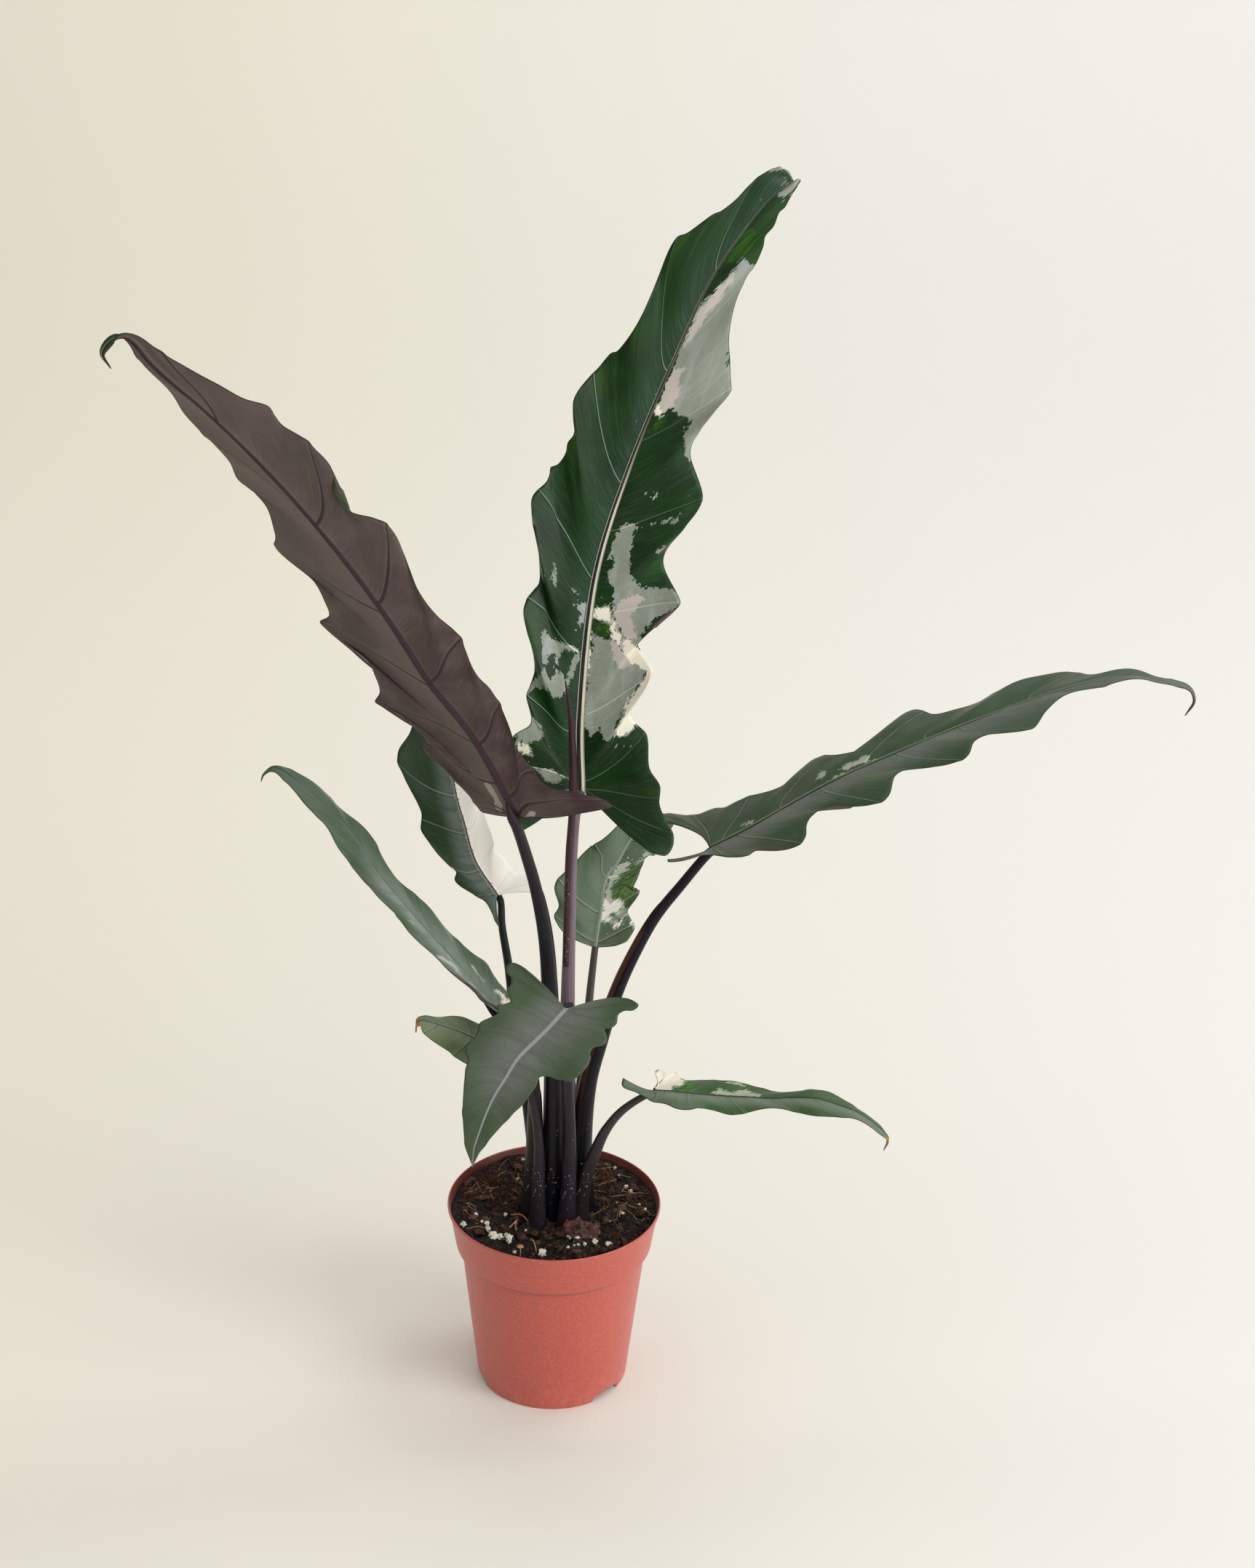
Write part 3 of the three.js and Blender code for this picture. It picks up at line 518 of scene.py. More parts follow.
class MixSettings(PropertyGroup):
    peat: colour("Peat", "The fine dark part of the mix", 28, 19, 14)
    crumb: colour("Crumb", "Browner crumbs", 74, 46, 32)
    bark: colour("Bark", "Bark pieces", 98, 67, 60)
    coir: colour("Coir", "Golden-brown fibres", 88, 52, 30)
    straw: colour("Straw", "Paler straws and roots", 184, 148, 106)
    perlite: colour("Perlite", "Expanded white grains", 226, 222, 208)
    bundles: number("Bundles", "How many bundles of fibres lie on the mix", 70)
    straws: number("Straws", "How many loose straws lie on the mix", 80)
    chips: number("Chips", "How many small bark chips lie on the mix", 60)
    crumbs: number("Crumbs", "How many loose crumbs lie on the mix", 420)


class StudioSettings(PropertyGroup):
    # The warmer left colour is painted warm shade on that side
    paper_left: colour("Paper, left", "Floor and wall towards the left", 236, 232, 218)
    paper_right: colour("Paper, right", "Floor and wall towards the right", 231, 230, 226)
    key: power("Key light", "Power of the large light from the right", 22)
    side: power("Side light", "Power of the lower light at the right", 16)
    low: power("Low light", "Power of the low light that gives sheen", 3)
    front: power("Front light", "Power of the light beside the camera", 7)
    top: power("Top light", "Power of the light from above the left", 5.2)
    wall_left: power("Left wall light", "Power of the light on the left of the wall", 11.8)
    wall_right: power("Right wall light", "Power of the light on the right of the wall", 33)
    sky: fraction("Surround", "Strength of the even surround", 0.43)


class PlantSettings(PropertyGroup):
    foliage: PointerProperty(type=FoliageSettings)
    stalks: PointerProperty(type=StalkSettings)
    pot: PointerProperty(type=PotSettings)
    mix: PointerProperty(type=MixSettings)
    studio: PointerProperty(type=StudioSettings)


def settings():
    return bpy.context.scene.alocasia


# Curves and leaf surfaces

class Smooth:
    """A smooth curve through points, read by the part of its length."""

    STEPS = 401
    AHEAD = 1e-4

    def __init__(self, points):
        p = np.array([tuple(q) + (0,) * (3 - len(q)) for q in points], float)
        self.points = np.vstack([2 * p[0] - p[1], p, 2 * p[-1] - p[-2]])
        self.scale = np.linspace(0, 1, self.STEPS)
        steps = np.linalg.norm(np.diff(self.by_point(self.scale), axis=0), axis=1)
        self.lengths = np.r_[0, np.cumsum(steps)]
        self.length = self.lengths[-1]

    def by_point(self, t):
        count = len(self.points) - 3
        w = np.asarray(t, float) * count
        i = np.clip(w.astype(int), 0, count - 1)
        w = (w - i)[..., None]
        a, b, c, d = (self.points[i + k] for k in range(4))
        leave, arrive = (c - a) / 2, (d - b) / 2
        cubic = 2 * b - 2 * c + leave + arrive
        square = -3 * b + 3 * c - 2 * leave - arrive
        return b + w * (leave + w * (square + w * cubic))

    def at(self, part):
        return self.by_point(np.interp(np.asarray(part) * self.length, self.lengths, self.scale))

    def along(self, part):
        ahead = self.at(np.minimum(np.asarray(part) + self.AHEAD, 1))
        return unit(ahead - self.at(np.maximum(np.asarray(part) - self.AHEAD, 0)))


def unit(vectors):
    return vectors / np.linalg.norm(vectors, axis=-1, keepdims=True)


def held(values):
    """The values, held between 0 and 1."""
    return np.clip(values, 0, 1)


def swell(points, wavelength, seed, waves=6):
    """Gentle waves, between about -1 and 1, that never line up."""
    rng = np.random.default_rng(seed)
    total = np.zeros(points.shape[:-1])
    for _ in range(waves):
        turn = unit(rng.normal(size=points.shape[-1])) * 2 * np.pi / wavelength
        total += np.sin(points @ (turn * rng.uniform(0.7, 1.5)) + rng.uniform(0, 6.3))
    return total / (waves / 2)


class LeafSurface:
    """A leaf's surface, by the part of the way out (-1 to 1) and the part of the margin (0 to 1)."""

    # Half the stretch of midrib that gives its direction, and the powers that bend the side veins
    REACH = 1.5
    ROOTS = 1.35
    ARC = 1.3

    def __init__(self, leaf):
        self.leaf = leaf
        self.rib = Smooth(leaf["rib"])
        self.length = self.rib.length
        self.margins = [Smooth(leaf[k] + ((0, self.length),)) for k in ("left", "right")]

    def axes(self, y):
        at = lambda step: self.rib.at(held((y + step) / self.length))
        along = unit(at(self.REACH) - at(-self.REACH))
        first, last = np.array(self.leaf["side"], float)
        side = first + (last - first) * held(y / self.length)[..., None]
        side = unit(side - along * (side * along).sum(-1, keepdims=True))
        return at(0), side, along, np.cross(side, along)

    def point(self, x, y, height):
        center, side, _, up = self.axes(np.maximum(y, 0))
        base = self.axes(np.zeros(1))[2]
        center = center + base * np.minimum(y, 0)[..., None]
        fold = math.radians(self.leaf["fold"])
        lift = np.abs(x) * math.sin(fold) + height
        return center + side * (x * math.cos(fold))[..., None] + up * lift[..., None]

    def flat(self, u, v):
        """The flat place (x, y) and the height of the ruffles there, and the half's width."""
        right = u >= 0
        edge = np.where(right[..., None], self.margins[1].at(v), self.margins[0].at(v))
        pick = lambda key: np.where(right, self.leaf[key][1], self.leaf[key][0])
        out = np.abs(u)
        root = self.length * held((v - LOBE_PART) / (1 - LOBE_PART)) ** self.ROOTS
        beat = np.cos(2 * np.pi * pick("beats") * v + right)
        ruffle = self.leaf["wave"] * beat * np.minimum(1, 4 * (1 - v))
        lobe = pick("lift") * held(1 - v / (1.6 * LOBE_PART)) ** 2
        bow = pick("bow") * 4 * out * (1 - out) * held(1 - v / LOBE_PART) ** 2
        y = root + (edge[..., 1] - root) * out ** self.ARC - bow
        return np.sign(u) * edge[..., 0] * out, y, (ruffle + lobe) * out ** 2, edge[..., 0]


def vein_count(name, u, v, margin=0.12, apart=20):
    """How many side veins lie below each place, whole on a vein, and the room between two of them.

    Outside the first and the last vein the next is the margin away. The counts of the right half are
    apart from the left's, so that their patterns differ.
    """
    total, spacing = np.zeros_like(u), np.zeros_like(u)
    for half, veins in enumerate(VEINS.get(name, (COMMON_VEINS, COMMON_VEINS))):
        mine = (u >= 0) == bool(half)
        a, b, c = np.array(veins).T[:, :, None]
        t = np.abs(u)[mine]
        places = a * (1 - t) * (1 - 2 * t) + b * 4 * t * (1 - t) + c * t * (2 * t - 1)
        places = np.vstack([places[0] - margin, places, places[-1] + margin])
        below = np.clip((places <= v[mine]).sum(0), 1, len(places) - 1)
        low = np.take_along_axis(places, below[None] - 1, 0)[0]
        high = np.take_along_axis(places, below[None], 0)[0]
        total[mine] = below - 1 + (v[mine] - low) / (high - low) + apart * half
        spacing[mine] = high - low
    return total, spacing


def depth_inside(points, outlines, farthest=-60.0):
    """How far each flat point lies inside any of the outlines, negative outside."""
    best = np.full(len(points), farthest)
    for outline in outlines:
        corners = np.array(outline, float)
        nexts = np.roll(corners, -1, axis=0)
        edges = nexts - corners
        offset = points[:, None] - corners[None]
        part = held((offset * edges).sum(-1) / (edges ** 2).sum(-1))
        reach = np.linalg.norm(offset - part[..., None] * edges, axis=-1).min(1)
        px, py = points[:, None, 0], points[:, None, 1]
        spans = (corners[:, 1] > py) != (nexts[:, 1] > py)
        rise = np.where(edges[:, 1] == 0, 1e-9, edges[:, 1])
        cross = corners[:, 0] + (py - corners[:, 1]) * edges[:, 0] / rise
        inside = (spans & (px < cross)).sum(1) % 2 == 1
        best = np.maximum(best, np.where(inside, reach, -reach))
    return best


# Mesh helpers

def place_grid(bm, columns, rows, places, fields):
    """A grid of faces whose points are moved to places, rows from the bottom up."""
    layers = bm.verts.layers.float_vector
    for name in fields:
        layers.get(name) or layers.new(name)
    made = bmesh.ops.create_grid(bm, x_segments=columns, y_segments=rows, size=1)["verts"]
    order = sorted(made, key=lambda v: (round(v.co.y, 5), round(v.co.x, 5)))
    for vert, place in zip(order, places):
        vert.co = place
    for name, values in fields.items():
        layer = layers[name]
        for vert, value in zip(order, values):
            vert[layer] = value
    return order


def close_ends(bm, verts):
    """Closes the open ends of a tube."""
    edges = {e for v in verts if v.is_valid for e in v.link_edges if e.is_boundary}
    if edges:
        bmesh.ops.holes_fill(bm, edges=list(edges), sides=0)


def add_tube(bm, curve, rings, around, width, field=None):
    """Bends a tube along a curve. width(part, angle) is its radius in millimetres.

    The field, if any, holds the direction from the tube's middle and the way along it.
    """
    part = np.linspace(0, 1, rings)
    along = curve.along(part)
    front = np.tile((0.0, -1.0, 0.0), (rings, 1))
    front[np.abs(along[:, 1]) > 0.97] = (1.0, 0.0, 0.0)
    front = unit(front - along * (front * along).sum(-1, keepdims=True))
    side = np.cross(along, front)
    a, p = np.meshgrid(-np.linspace(0, 2 * np.pi, around + 1), part)
    across, facing = np.cos(a), np.sin(a)
    places = curve.at(part)[:, None] + width(p, a)[..., None] * (
        side[:, None] * across[..., None] + front[:, None] * facing[..., None])
    fields = {}
    if field:
        fields[field] = np.stack([across, facing, p * curve.length / CM], -1).reshape(-1, 3)
    verts = place_grid(bm, around, rings - 1, places.reshape(-1, 3) * MM, fields)
    bmesh.ops.remove_doubles(bm, verts=verts, dist=MERGE)
    close_ends(bm, verts)


def tapering(first, loss, scale=1):
    """The radius of a tube that loses the same share of the scale all along."""
    return lambda part, angle: scale * (first - loss * part)


def add_line(bm, points):
    verts = [bm.verts.new(point) for point in points]
    return verts, [bm.edges.new(pair) for pair in zip(verts, verts[1:])]


def spin_profile(bm, profile, steps, center=(0, 0, 0)):
    """Spins a profile of (radius, height) round the upright line through the center."""
    x, y, z = center
    verts, edges = add_line(bm, [((x + out) * MM, y * MM, (z + up) * MM) for out, up in profile])
    bmesh.ops.spin(bm, geom=verts + edges, cent=(x * MM, y * MM, 0), axis=(0, 0, 1),
                   dvec=(0, 0, 0), angle=2 * math.pi, steps=steps, use_merge=True)
    bmesh.ops.remove_doubles(bm, verts=bm.verts, dist=MERGE)


def finish_mesh(bm, name, *materials, recalc=True):
    """Turns a bmesh into an object at the origin, shaded smooth."""
    if recalc:
        bmesh.ops.recalc_face_normals(bm, faces=bm.faces)
    for face in bm.faces:
        face.smooth = True
    mesh = bpy.data.meshes.new(name)
    bm.to_mesh(mesh)
    bm.free()
    for material in materials:
        mesh.materials.append(material)
    piece = bpy.data.objects.new(name, mesh)
    bpy.context.scene.collection.objects.link(piece)
    return piece


def dress(piece, slot, *nodes):
    """The piece rides on the part's one body and stands for the CAD nodes, if any."""
    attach(piece, BODY)
    for node in nodes:
        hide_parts(node)
    return piece


# Materials

class Finish:
    """A short way to write a material's nodes. A plain value is set, a socket is linked."""

    def __init__(self, name):
        self.material = bpy.data.materials.new(name)
        self.material.use_nodes = True
        self.tree = self.material.node_tree
        self.tree.nodes.clear()
        self.surface = self.add("ShaderNodeBsdfPrincipled")
        output = self.add("ShaderNodeOutputMaterial")
        self.tree.links.new(self.surface.outputs[0], output.inputs[0])

    def add(self, kind, values=None, **settings):
        node = self.tree.nodes.new(kind)
        for key, value in settings.items():
            setattr(node, key, value)
        for key, value in (values or {}).items():
            self.put(node.inputs[key], value)
        return node

    def put(self, socket, value):
        if isinstance(value, bpy.types.NodeSocket):
            self.tree.links.new(value, socket)
        elif socket.type == "RGBA":
            socket.default_value = (*value[:3], 1)
        else:
            socket.default_value = value

    def set(self, **values):
        for key, value in values.items():
            self.put(self.surface.inputs[key.replace("_", " ")], value)

    def attribute(self, name):
        return self.add("ShaderNodeAttribute", attribute_name=name).outputs["Vector"]

    def place(self, across=1, up=None):
        """Object coordinates, scaled across and up."""
        spot = self.add("ShaderNodeTexCoord").outputs["Object"]
        scale = (across, across, across if up is None else up)
        return self.add("ShaderNodeMapping", {0: spot, "Scale": scale}).outputs[0]

    def split(self, vector):
        return self.add("ShaderNodeSeparateXYZ", {0: vector}).outputs

    def join(self, *terms):
        """A vector from value and weight pairs."""
        parts = {i: self.times(*term) for i, term in enumerate(terms)}
        return self.add("ShaderNodeCombineXYZ", parts).outputs[0]

    def math(self, operation, a, b=0, c=0):
        return self.add("ShaderNodeMath", {0: a, 1: b, 2: c}, operation=operation).outputs[0]

    def add_up(self, *terms):
        """Sum of value and weight pairs."""
        total = 0
        for value, weight in terms:
            total = self.math("MULTIPLY_ADD", value, weight, total)
        return total

    def times(self, a, b):
        return self.math("MULTIPLY", a, b)

    def fade(self, value, low, high, to_low=0, to_high=1):
        """A smooth step from to_low below low to to_high above high."""
        return self.add("ShaderNodeMapRange", {0: value, 1: low, 2: high, 3: to_low, 4: to_high},
                        interpolation_type="SMOOTHSTEP").outputs[0]

    def blend(self, factor, a, b):
        node = self.add("ShaderNodeMix", {0: factor}, data_type="RGBA")
        self.put(node.inputs[6], a)
        self.put(node.inputs[7], b)
        return node.outputs[2]

    def noise(self, vector, scale, detail=2, roughness=0.5):
        return self.add("ShaderNodeTexNoise", {0: vector, "Scale": scale, "Detail": detail,
                                               "Roughness": roughness}).outputs[0]

    def cells(self, vector, scale=1):
        """A number from 0 to 1 that is the same all over each cell."""
        node = self.add("ShaderNodeTexVoronoi", {0: vector, "Scale": scale})
        return self.split(node.outputs["Color"])[0]

    def line(self, value, center, width):
        """A soft line where the value is within width of the center."""
        off = self.math("ABSOLUTE", self.math("SUBTRACT", value, center))
        return self.fade(self.math("DIVIDE", off, width), 1, 0.45)

    def coat(self, colour, *factors):
        """Lays a colour over the base, as strongly as the product of the factors."""
        strength, *others = factors
        for factor in others:
            strength = self.times(strength, factor)
        self.base = self.blend(strength, self.base, colour)

    def done(self, gloss, rough, relief, **more):
        """The material. Roughness and height in millimetres are sums of value and weight pairs."""
        bump = self.add("ShaderNodeBump", {"Distance": MM, "Height": self.add_up(*relief)})
        self.set(Base_Color=self.base, Specular_IOR_Level=gloss, Roughness=self.add_up(*rough),
                 Normal=bump.outputs[0], **more)
        return self.material


def merged(own, **common):
    """A look: its own values over the common ones."""
    return SimpleNamespace(**{**common, **own})


def leaf_fields(f):
    """What a blade's two materials read, from the blade's own attributes."""
    lay = f.attribute("lay")
    out, along, half = f.split(lay)
    count, reach, spacing = f.split(f.attribute("veins"))
    from_rib, from_edge, blush = f.split(f.attribute("rims"))
    off_vein = f.times(f.math("SUBTRACT", count, f.math("ROUND", count)), spacing)
    return SimpleNamespace(
        lay=lay, out=out, along=along, half=half, count=count, reach=reach, off_vein=off_vein,
        from_rib=from_rib, from_edge=from_edge, blush=blush, tones=f.split(f.attribute("tones")),
        grain=f.join((count, 46), (reach, 0.9), (half, 1)),
        blocks=f.join((count, 24), (reach, 6), (half, 1)),
        drift=f.noise(f.join((count, 5), (reach, 0.5), (half, 1)), 1, 3, 0.6))


def sheen_haze_part(f, at, strength, span):
    """Painted sheen haze near the midrib where the strength is above 0, and near the margin where it is
    below.
    """
    if strength > 0:
        return f.fade(at.from_rib, span, 3, 0, strength)
    return f.fade(at.from_edge, span * 0.6, 1, 0, -strength)


def by_half(f, at, left, right):
    """The left half's value on the left and the right half's on the right."""
    return f.fade(at.half, -0.1, 0.1, left, right)


def leaf_body(f, at, look):
    """The green of a blade: two greens, a haze where the light glances off, which is partly the blade's
    own bloom and partly painted sheen, and fine lines that show most in it.
    """
    stripes = f.noise(at.grain, 1, 3, 0.6)
    f.base = f.blend(f.fade(f.noise(at.lay, 0.4, 3), 0.36, 0.64), look.green, look.second)
    left, right = (sheen_haze_part(f, at, strength, look.haze_span) for strength in look.haze)
    haze = f.add_up((left, by_half(f, at, 1, 0)), (right, by_half(f, at, 0, 1)))
    haze = f.times(haze, f.fade(at.drift, 0.32, 0.64, 0.6, 1))
    end = look.length * look.haze_end
    haze = f.times(haze, f.fade(at.along, end * 1.6, end, 0.1, 1))
    # Painted sheen: the haze colour laid where the light would glance off, over the blade's own bloom
    f.coat(look.bloom_and_sheen, haze)
    f.coat(look.fine, f.fade(stripes, 0.5, 0.6), f.fade(haze, 0, 0.45, *look.lines))
    f.coat(settings().foliage.lime, f.fade(at.from_edge, 11, 1), f.fade(at.drift, 0.45, 0.7),
           look.young)
    return stripes


def pale_parts(f, at, look):
    """How much each place is sage, cream, lime, blush or a stray fleck."""
    sage, cream, lime = at.tones
    jag = f.add_up((f.cells(at.blocks), 1.9), (f.cells(at.blocks, 2.3), 0.8),
                   (f.noise(at.blocks, 2.2, 3), 1.8), (1, -2.25))
    near = f.fade(sage, -look.fleck_reach, -1)
    speck = f.cells(f.join((at.count, 34), (at.reach, 9)))
    chance = f.add_up((speck, 1), (f.noise(at.lay, 1.6, 2), 0.35))
    rare = f.math("GREATER_THAN", chance, look.flecks)
    step = lambda depth, soft=0.12: f.fade(f.math("ADD", depth, jag), -soft, soft)
    return step(sage), step(cream), step(lime, 1.2), step(at.blush, 0.3), f.times(rare, near)


def add_patches(f, at, look, stripes):
    """Lays the pale patches over the green, and gives how pale and how creamy each place is."""
    leaf = settings().foliage
    sage, cream, lime, blush, flecks = pale_parts(f, at, look)
    mottle = f.noise(at.blocks, 0.7, 3, 0.6)
    pale = f.blend(f.times(f.fade(mottle, 0.38, 0.62), 0.35), look.sage, look.sage_shade)
    # Painted sheen: pale blue-white bands over the sage patches where light would glance off
    painted_sheen = f.noise(f.join((at.out, 1.5), (at.along, 0.35), (at.half, 1)), 1, 2)
    pale = f.blend(f.fade(painted_sheen, 0.48, 0.68, 0, 0.4), pale, tint(172, 178, 176))
    pale = f.blend(f.times(f.fade(stripes, 0.5, 0.68), 0.16), pale, leaf.blush)
    fresh = f.blend(f.fade(mottle, 0.44, 0.6, 0, 0.75), look.lime, leaf.green)
    f.coat(fresh, lime, 0.9)
    f.coat(pale, f.math("MAXIMUM", sage, flecks))
    f.coat(leaf.blush, blush, sage)
    f.coat(look.cream, cream)
    return f.math("MAXIMUM", sage, cream), cream


def add_veins(f, at, look, light):
    """Draws the side veins, each with a darker groove beside it that is painted shadow of the raised
    vein, and gives their relief.
    """
    thin = f.fade(at.reach, 0, 4.5, settings().foliage.vein_width / MM, 0.28)
    vein = f.line(at.off_vein, 0.12, thin)
    strength = by_half(f, at, *look.vein_strength)
    groove = f.times(f.line(at.off_vein, -0.5, f.times(thin, 1.1)), 0.6)
    groove = f.times(groove, f.times(f.math("SUBTRACT", 1, light), f.math("ADD", strength, 0.2)))
    # Painted shadow: the dark line beside each raised vein
    f.coat(look.groove, groove)
    f.coat(f.blend(light, look.vein, look.pale_vein), vein, strength)
    return (vein, 0.1), (groove, -0.16)


def add_midrib(f, at, look):
    """Draws the midrib, of one colour on each side, finely streaked and fading towards the tip. The
    common dark side is partly painted shade of the rounded rib, and the gleam is a painted highlight.
    """
    signed = f.math("DIVIDE", f.times(at.out, CM), f.fade(at.along, 0, look.length, *look.rib_width))
    streak = f.noise(f.join((at.out, 20), (at.along, 0.4)), 1, 3)
    streaked = f.fade(streak, 0.5, 0.68, 0, look.rib_streak * 1.2)
    first, second = (f.blend(streaked, side, tint(86, 90, 80)) for side in look.rib)
    start, end = (look.length * part for part in look.rib_ends)
    second = f.blend(f.fade(at.along, start, end, 1, look.rib_tip), look.rib_thin, second)
    side = f.add_up((signed, 1), (streak, look.rib_streak), (1, look.rib_side))
    rib = f.blend(f.fade(side, 0, 0.25), first, second)
    off = f.math("ABSOLUTE", signed)
    rib = f.blend(f.times(f.line(off, 0.92, 0.22), look.rib_streak * 1.6), rib, tint(34, 38, 30))
    # Painted highlight: a pale line along the rib where light would catch it
    rib = f.blend(f.times(f.line(signed, -0.72, 0.14), look.gleam), rib, tint(176, 178, 166))
    f.coat(rib, f.fade(off, 1.08, 0.92))


def dry_tip(f, at, look):
    """Dries the last stretch of the blade."""
    dry, reach = look.tip
    f.coat(dry, f.fade(at.along, look.length - reach, look.length - reach / 2))


def upper_side(name, look):
    """The upper side of a blade: green with fine striping, pale patches, veins and midrib."""
    f = Finish(f"{name} upper side")
    at = leaf_fields(f)
    stripes = leaf_body(f, at, look)
    light, cream = add_patches(f, at, look, stripes)
    relief = add_veins(f, at, look, light)
    f.coat(settings().foliage.hem, f.fade(at.from_edge, 0.42, 0.15),
           f.math("SUBTRACT", 1, cream), look.hem)
    dry_tip(f, at, look)
    add_midrib(f, at, look)
    fine = f.noise(at.lay, 60, 2)
    return f.done(look.gloss, ((stripes, 0.2), (fine, 0.08), (light, 0.05), (1, look.matt)),
                  (*relief, (stripes, 0.16), (fine, 0.02), (light, -0.03)))


def lower_side(name, look):
    """The underside of a blade: matt purple-brown with darker side veins and a purple midrib."""
    leaf = settings().foliage
    f = Finish(f"{name} underside")
    at = leaf_fields(f)
    stripes = f.noise(at.grain, 1, 3, 0.5)
    fine = f.noise(at.lay, 26, 3, 0.7)
    f.base = f.blend(f.fade(at.along, 0, look.length * 0.75), look.reverse_base, look.reverse)
    f.coat(leaf.reverse_bloom_and_sheen, f.fade(f.noise(at.lay, 0.45, 3), 0.35, 0.7, 0, 0.4))
    # Painted sheen: the paler colour laid near the midrib, mostly on the right half
    f.coat(leaf.reverse_bloom_and_sheen, f.fade(at.from_rib, 30, 2), by_half(f, at, 0.1, 0.8))
    f.coat(leaf.reverse_vein, f.fade(fine, 0.44, 0.62, 0, 0.34))
    f.coat(leaf.blush, f.fade(stripes, 0.5, 0.66), 0.04)
    jag = f.math("SUBTRACT", f.times(f.noise(at.blocks, 1.2, 3), 3), 1.5)
    pale = f.math("ADD", f.math("MAXIMUM", at.tones[0], at.tones[1]), jag)
    f.coat(leaf.blush, f.fade(pale, -0.3, 0.3), look.show)
    narrow = f.times(f.fade(at.reach, 0.1, 3.4, 1, 0.3), by_half(f, at, 1.25, 0.85))
    vein = f.line(at.off_vein, 0, narrow)
    f.coat(leaf.reverse_bloom_and_sheen, f.line(at.off_vein, 1, 0.9), 0.3)
    f.coat(leaf.reverse_vein, vein, 0.92)
    signed = f.math("DIVIDE", at.from_rib, f.fade(at.along, 0, look.length, *look.reverse_width))
    rib = f.blend(f.fade(at.along, 2, look.length * 0.8), leaf.reverse_rib, leaf.reverse_vein)
    streak = f.noise(f.join((at.out, 20), (at.along, 0.6)), 1, 3)
    rib = f.blend(f.times(f.fade(streak, 0.45, 0.7), 0.45), rib, tint(34, 26, 30))
    f.coat(rib, f.fade(signed, 1.1, 0.75), 0.94)
    f.coat(leaf.hem, f.fade(at.from_edge, 0.5, 0.2), 0.6)
    dry_tip(f, at, look)
    return f.done(0.25, ((fine, 0.15), (stripes, 0.1), (1, 0.45)),
                  ((vein, 0.3), (stripes, 0.02), (fine, 0.1)))


def stalk_material(name, own):
    """A stalk: near-black purple with fine streaks along it, partly its own streaks and partly painted
    satin highlights, drier at the sheath's edges.
    """
    stalk = settings().stalks
    dark = own.get("dark", stalk.dark)
    look = merged(own, dark=dark, top=dark, fade=(12, 26), streaks=0.5, streak=stalk.streak,
                  brown=0.08, matt=0.24, strip=None)
    f = Finish(f"{name} stalk")
    across, front, run = f.split(f.attribute("stalk"))
    streaks = f.noise(f.join((across, 5), (front, 5), (run, 0.25)), 1, 4, 0.6)
    blotch = f.noise(f.join((across, 1), (front, 1), (run, 0.5)), 0.9, 3)
    f.base = f.blend(f.fade(run, *look.fade), look.dark, look.top)
    # Partly the stalk's own streaks, partly painted satin highlights
    f.coat(look.streak, f.fade(streaks, 0.5, 0.72), look.streaks)
    f.coat(stalk.sheath, f.fade(blotch, 0.55, 0.75), look.brown)
    if look.strip:
        turn, low, high = look.strip
        facing = f.add_up((across, math.cos(turn)), (front, math.sin(turn)), (streaks, 0.1))
        f.coat(stalk.sheath, f.fade(run, high, high - 0.8), f.fade(run, low, low + 3),
               f.fade(facing, 0.9, 0.98))
    spots = f.cells(f.join((across, 14), (front, 14), (run, 16)))
    cluster = f.noise(f.join((across, 1.5), (front, 1.5), (run, 1)), 1, 2)
    rare = f.math("GREATER_THAN", f.add_up((spots, 1), (cluster, 0.5)), 1.27)
    f.coat(tint(214, 210, 206), rare, f.fade(run, 11, 2), stalk.dust)
    pores = f.noise(f.join((across, 1), (front, 1), (run, 1)), 22, 2)
    return f.done(0.24, ((streaks, 0.25), (1, look.matt)), ((streaks, 0.2), (pores, 0.04)))


def pot_material():
    """Speckled plastic, paler in patches towards the foot, with painted shade inside and in the corner
    below the collar.
    """
    pot = settings().pot
    f = Finish("Pot plastic")
    spot = f.place(1 / MM)
    across, deep, up = f.split(spot)
    grains = f.noise(spot, 1.9, 2, 0.7)
    flow = f.noise(f.place(60, 18), 1, 3)
    f.base = f.blend(f.fade(grains, 0.5, 0.66, 0, 0.8), pot.clay, pot.pale_speck)
    f.coat(pot.dark_speck, f.fade(grains, 0.47, 0.34, 0, 0.8))
    f.coat(pot.dark_speck, f.fade(flow, 0.5, 0.8), 0.16)
    # Paler in patches towards the foot
    dust = f.noise(f.place(220, 140), 1, 4, 0.7)
    f.coat(tint(206, 186, 170), f.fade(up, 26, 0), f.fade(dust, 0.45, 0.7), 0.14)
    scuff = f.noise(f.place(30, 500), 1, 3)
    radius = f.math("SQRT", f.add_up((across, across), (deep, deep)))
    slant = f.add_up((radius, 1), (up, -0.19))
    # Painted shade on the inner wall, above the mix
    f.coat(tint(60, 26, 22), f.fade(slant, 38.05, 37.8), f.fade(up, 86, 90), 0.75)
    # Painted shade in the corner below the collar's overhang
    f.coat(tint(104, 42, 36), f.fade(up, 82, 84.6), f.fade(up, 87.3, 86.3), 0.32)
    return f.done(0.65, ((grains, 0.1), (scuff, 0.1), (1, pot.roughness - 0.1)),
                  ((grains, 0.02), (scuff, 0.02), (flow, 0.05)), Sheen_Weight=0.18,
                  Sheen_Roughness=0.4, Sheen_Tint=tint(236, 220, 232))


